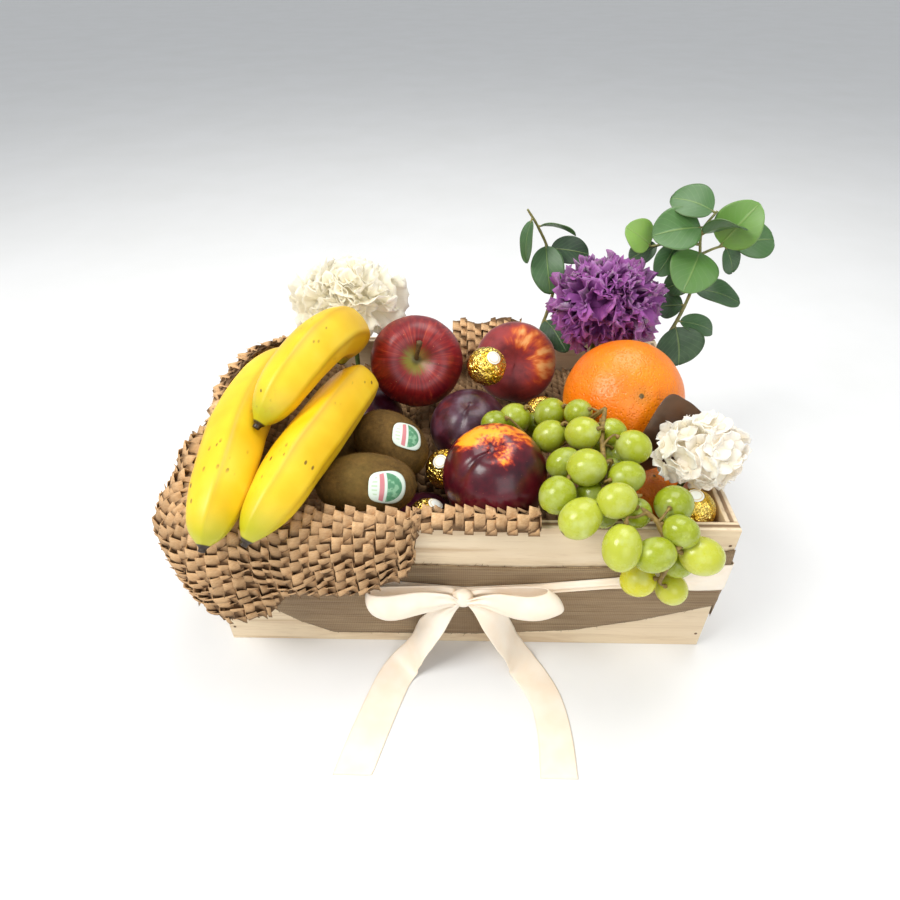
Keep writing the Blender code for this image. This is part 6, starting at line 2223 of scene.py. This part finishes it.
LEFT_SPRIG = (
    (0.06, 0.099, 0.106), (0.066, 0.104, 0.138), (0.073, 0.108, 0.165), (0.074, 0.107, 0.185),
    (0.066, 0.101, 0.215), (0.055, 0.095, 0.237), (0.046, 0.091, 0.251),
)
# The same columns; the last, the tone, is partly painted light and shade.
LEFT_LEAVES = (
    ((0.05, 0.093, 0.244), (0.048, 0.084, 0.211), 0.012, (-0.8, -0.6, 0.1), 0.35),
    ((0.055, 0.095, 0.237), (0.085, 0.09, 0.231), 0.016, (0.1, 0.45, 0.9), 0.45),
    ((0.066, 0.101, 0.216), (0.099, 0.1, 0.212), 0.02, (0.0, -0.8, 0.6), 0.05),
    ((0.063, 0.1, 0.221), (0.068, 0.077, 0.188), 0.024, (-0.2, -0.9, 0.4), 0.4),
    ((0.069, 0.105, 0.15), (0.086, 0.072, 0.137), 0.022, (0.1, -0.7, 0.7), 0.1),
)


@dataclass
class Sprig:
    """A sprig of eucalyptus: a stem, its twigs and round leaves."""

    name: str
    stem: Sequence[Point]
    twigs: Sequence[Sequence[Point]]
    leaves: Sequence[tuple]
    rows: ClassVar[int] = 30
    columns: ClassVar[int] = 19

    def leaf(self, base: Array, tip: Point, width: float, look: Point, seed: int) -> Array:
        """Return one leaf's grid of points, from its base to its tip."""
        along = np.array(tip) - base
        length = np.linalg.norm(along)
        along = along / length
        face = unit(np.array(look, float) - along * np.dot(look, along))
        side = np.cross(face, along)
        share = np.linspace(0, 1, self.rows)
        blade = np.clip((share - 0.08) / 0.92, 0, 1)
        half = 0.0007 + 1.06 * width / 2 * np.sin(math.pi * np.minimum(blade ** 0.9, 1.0)) ** 0.52
        fan = np.linspace(-1, 1, self.columns)
        bend = length * 0.1 * np.sin(math.pi * share)
        middle = base + along * (length * share)[:, None] + face * bend[:, None]
        wave = 0.0011 * np.sin(share[:, None] * 8 + seed) * fan[None, :] ** 2 * blade[:, None]
        cup = np.abs(fan)[None, :] ** 1.4 * half[:, None] * 0.16 + wave
        return middle[:, None] + side * (fan[None, :] * half[:, None])[..., None] + face * cup[..., None]

    def build(self) -> None:
        """Make the leaves and the wood as two pieces."""
        stems = np.vstack([smooth_path(twig, 60) for twig in (self.stem, *self.twigs)])
        blades, wood = Pile(), Pile()
        for number, (base, tip, width, look, _) in enumerate(self.leaves):
            near = stems[np.argmin(np.linalg.norm(stems - base, axis=1))]
            grid = self.leaf(near, tip, width, look, number)
            blades.add(grid, grid_faces(self.rows, self.columns))
            wood.add(*tube(grid[:5, self.columns // 2], (0.001, 0.0009, 0.0008, 0.0006, 0.0003), 10))
        fields = {"out": np.tile(np.repeat(np.linspace(0, 1, self.rows), self.columns), len(self.leaves)),
                  "fan": np.tile(np.linspace(-1, 1, self.columns), self.rows * len(self.leaves)),
                  "own": np.repeat([leaf[-1] for leaf in self.leaves], self.rows * self.columns)}
        leaves = blades.piece(f"{self.name}_leaves", EUCALYPTUS, fields)
        dress(thicken(leaves, 0.0006), "eucalyptus_leaf", self.name)
        line = smooth_path(self.stem, 70)
        wood.add(*tube(line, np.linspace(0.0018, 0.0009, 70) * (1 + 0.15 * wobble(line, 260.0)), 10))
        for twig in self.twigs:
            wood.add(*tube(smooth_path(twig, 30), np.linspace(0.0012, 0.0008, 30), 10))
        dress(wood.piece(f"{self.name}_wood", TWIG_BARK), "eucalyptus_leaf")


def build_all(nodes: dict[str, Item]) -> None:
    """Make every piece of the basket over its frame.

    Args:
        nodes: The frame's nodes by name.
    """
    scatter = Scatter()
    Crate().build(nodes, scatter)
    WovenBand().build()
    Bow().build()
    PaperLining(SlitPaper()).build(nodes)
    for name, (radius, line) in BANANAS.items():
        Banana(name, radius, line).build()
    for fruit in FRUIT:
        fruit.build()
    build_stalk(next(fruit for fruit in FRUIT if fruit.name == "apple"))
    build_kiwis(Fuzz())
    for chocolate in CHOCOLATES:
        chocolate.build()
    build_cup()
    GrapeBunch().build(scatter)
    for flower in FLOWERS:
        flower.build(scatter)
    build_wrap()
    Sprig("eucalyptus_right", RIGHT_SPRIG, RIGHT_TWIGS, RIGHT_LEAVES).build()
    Sprig("eucalyptus_left", LEFT_SPRIG, (), LEFT_LEAVES).build()


def main() -> None:
    """Load the frame, dress it and light it."""
    logging.basicConfig(level=logging.INFO, format="%(message)s")
    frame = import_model()
    build_all(frame["nodes"])
    Studio().build()


if __name__ == "__main__":
    main()
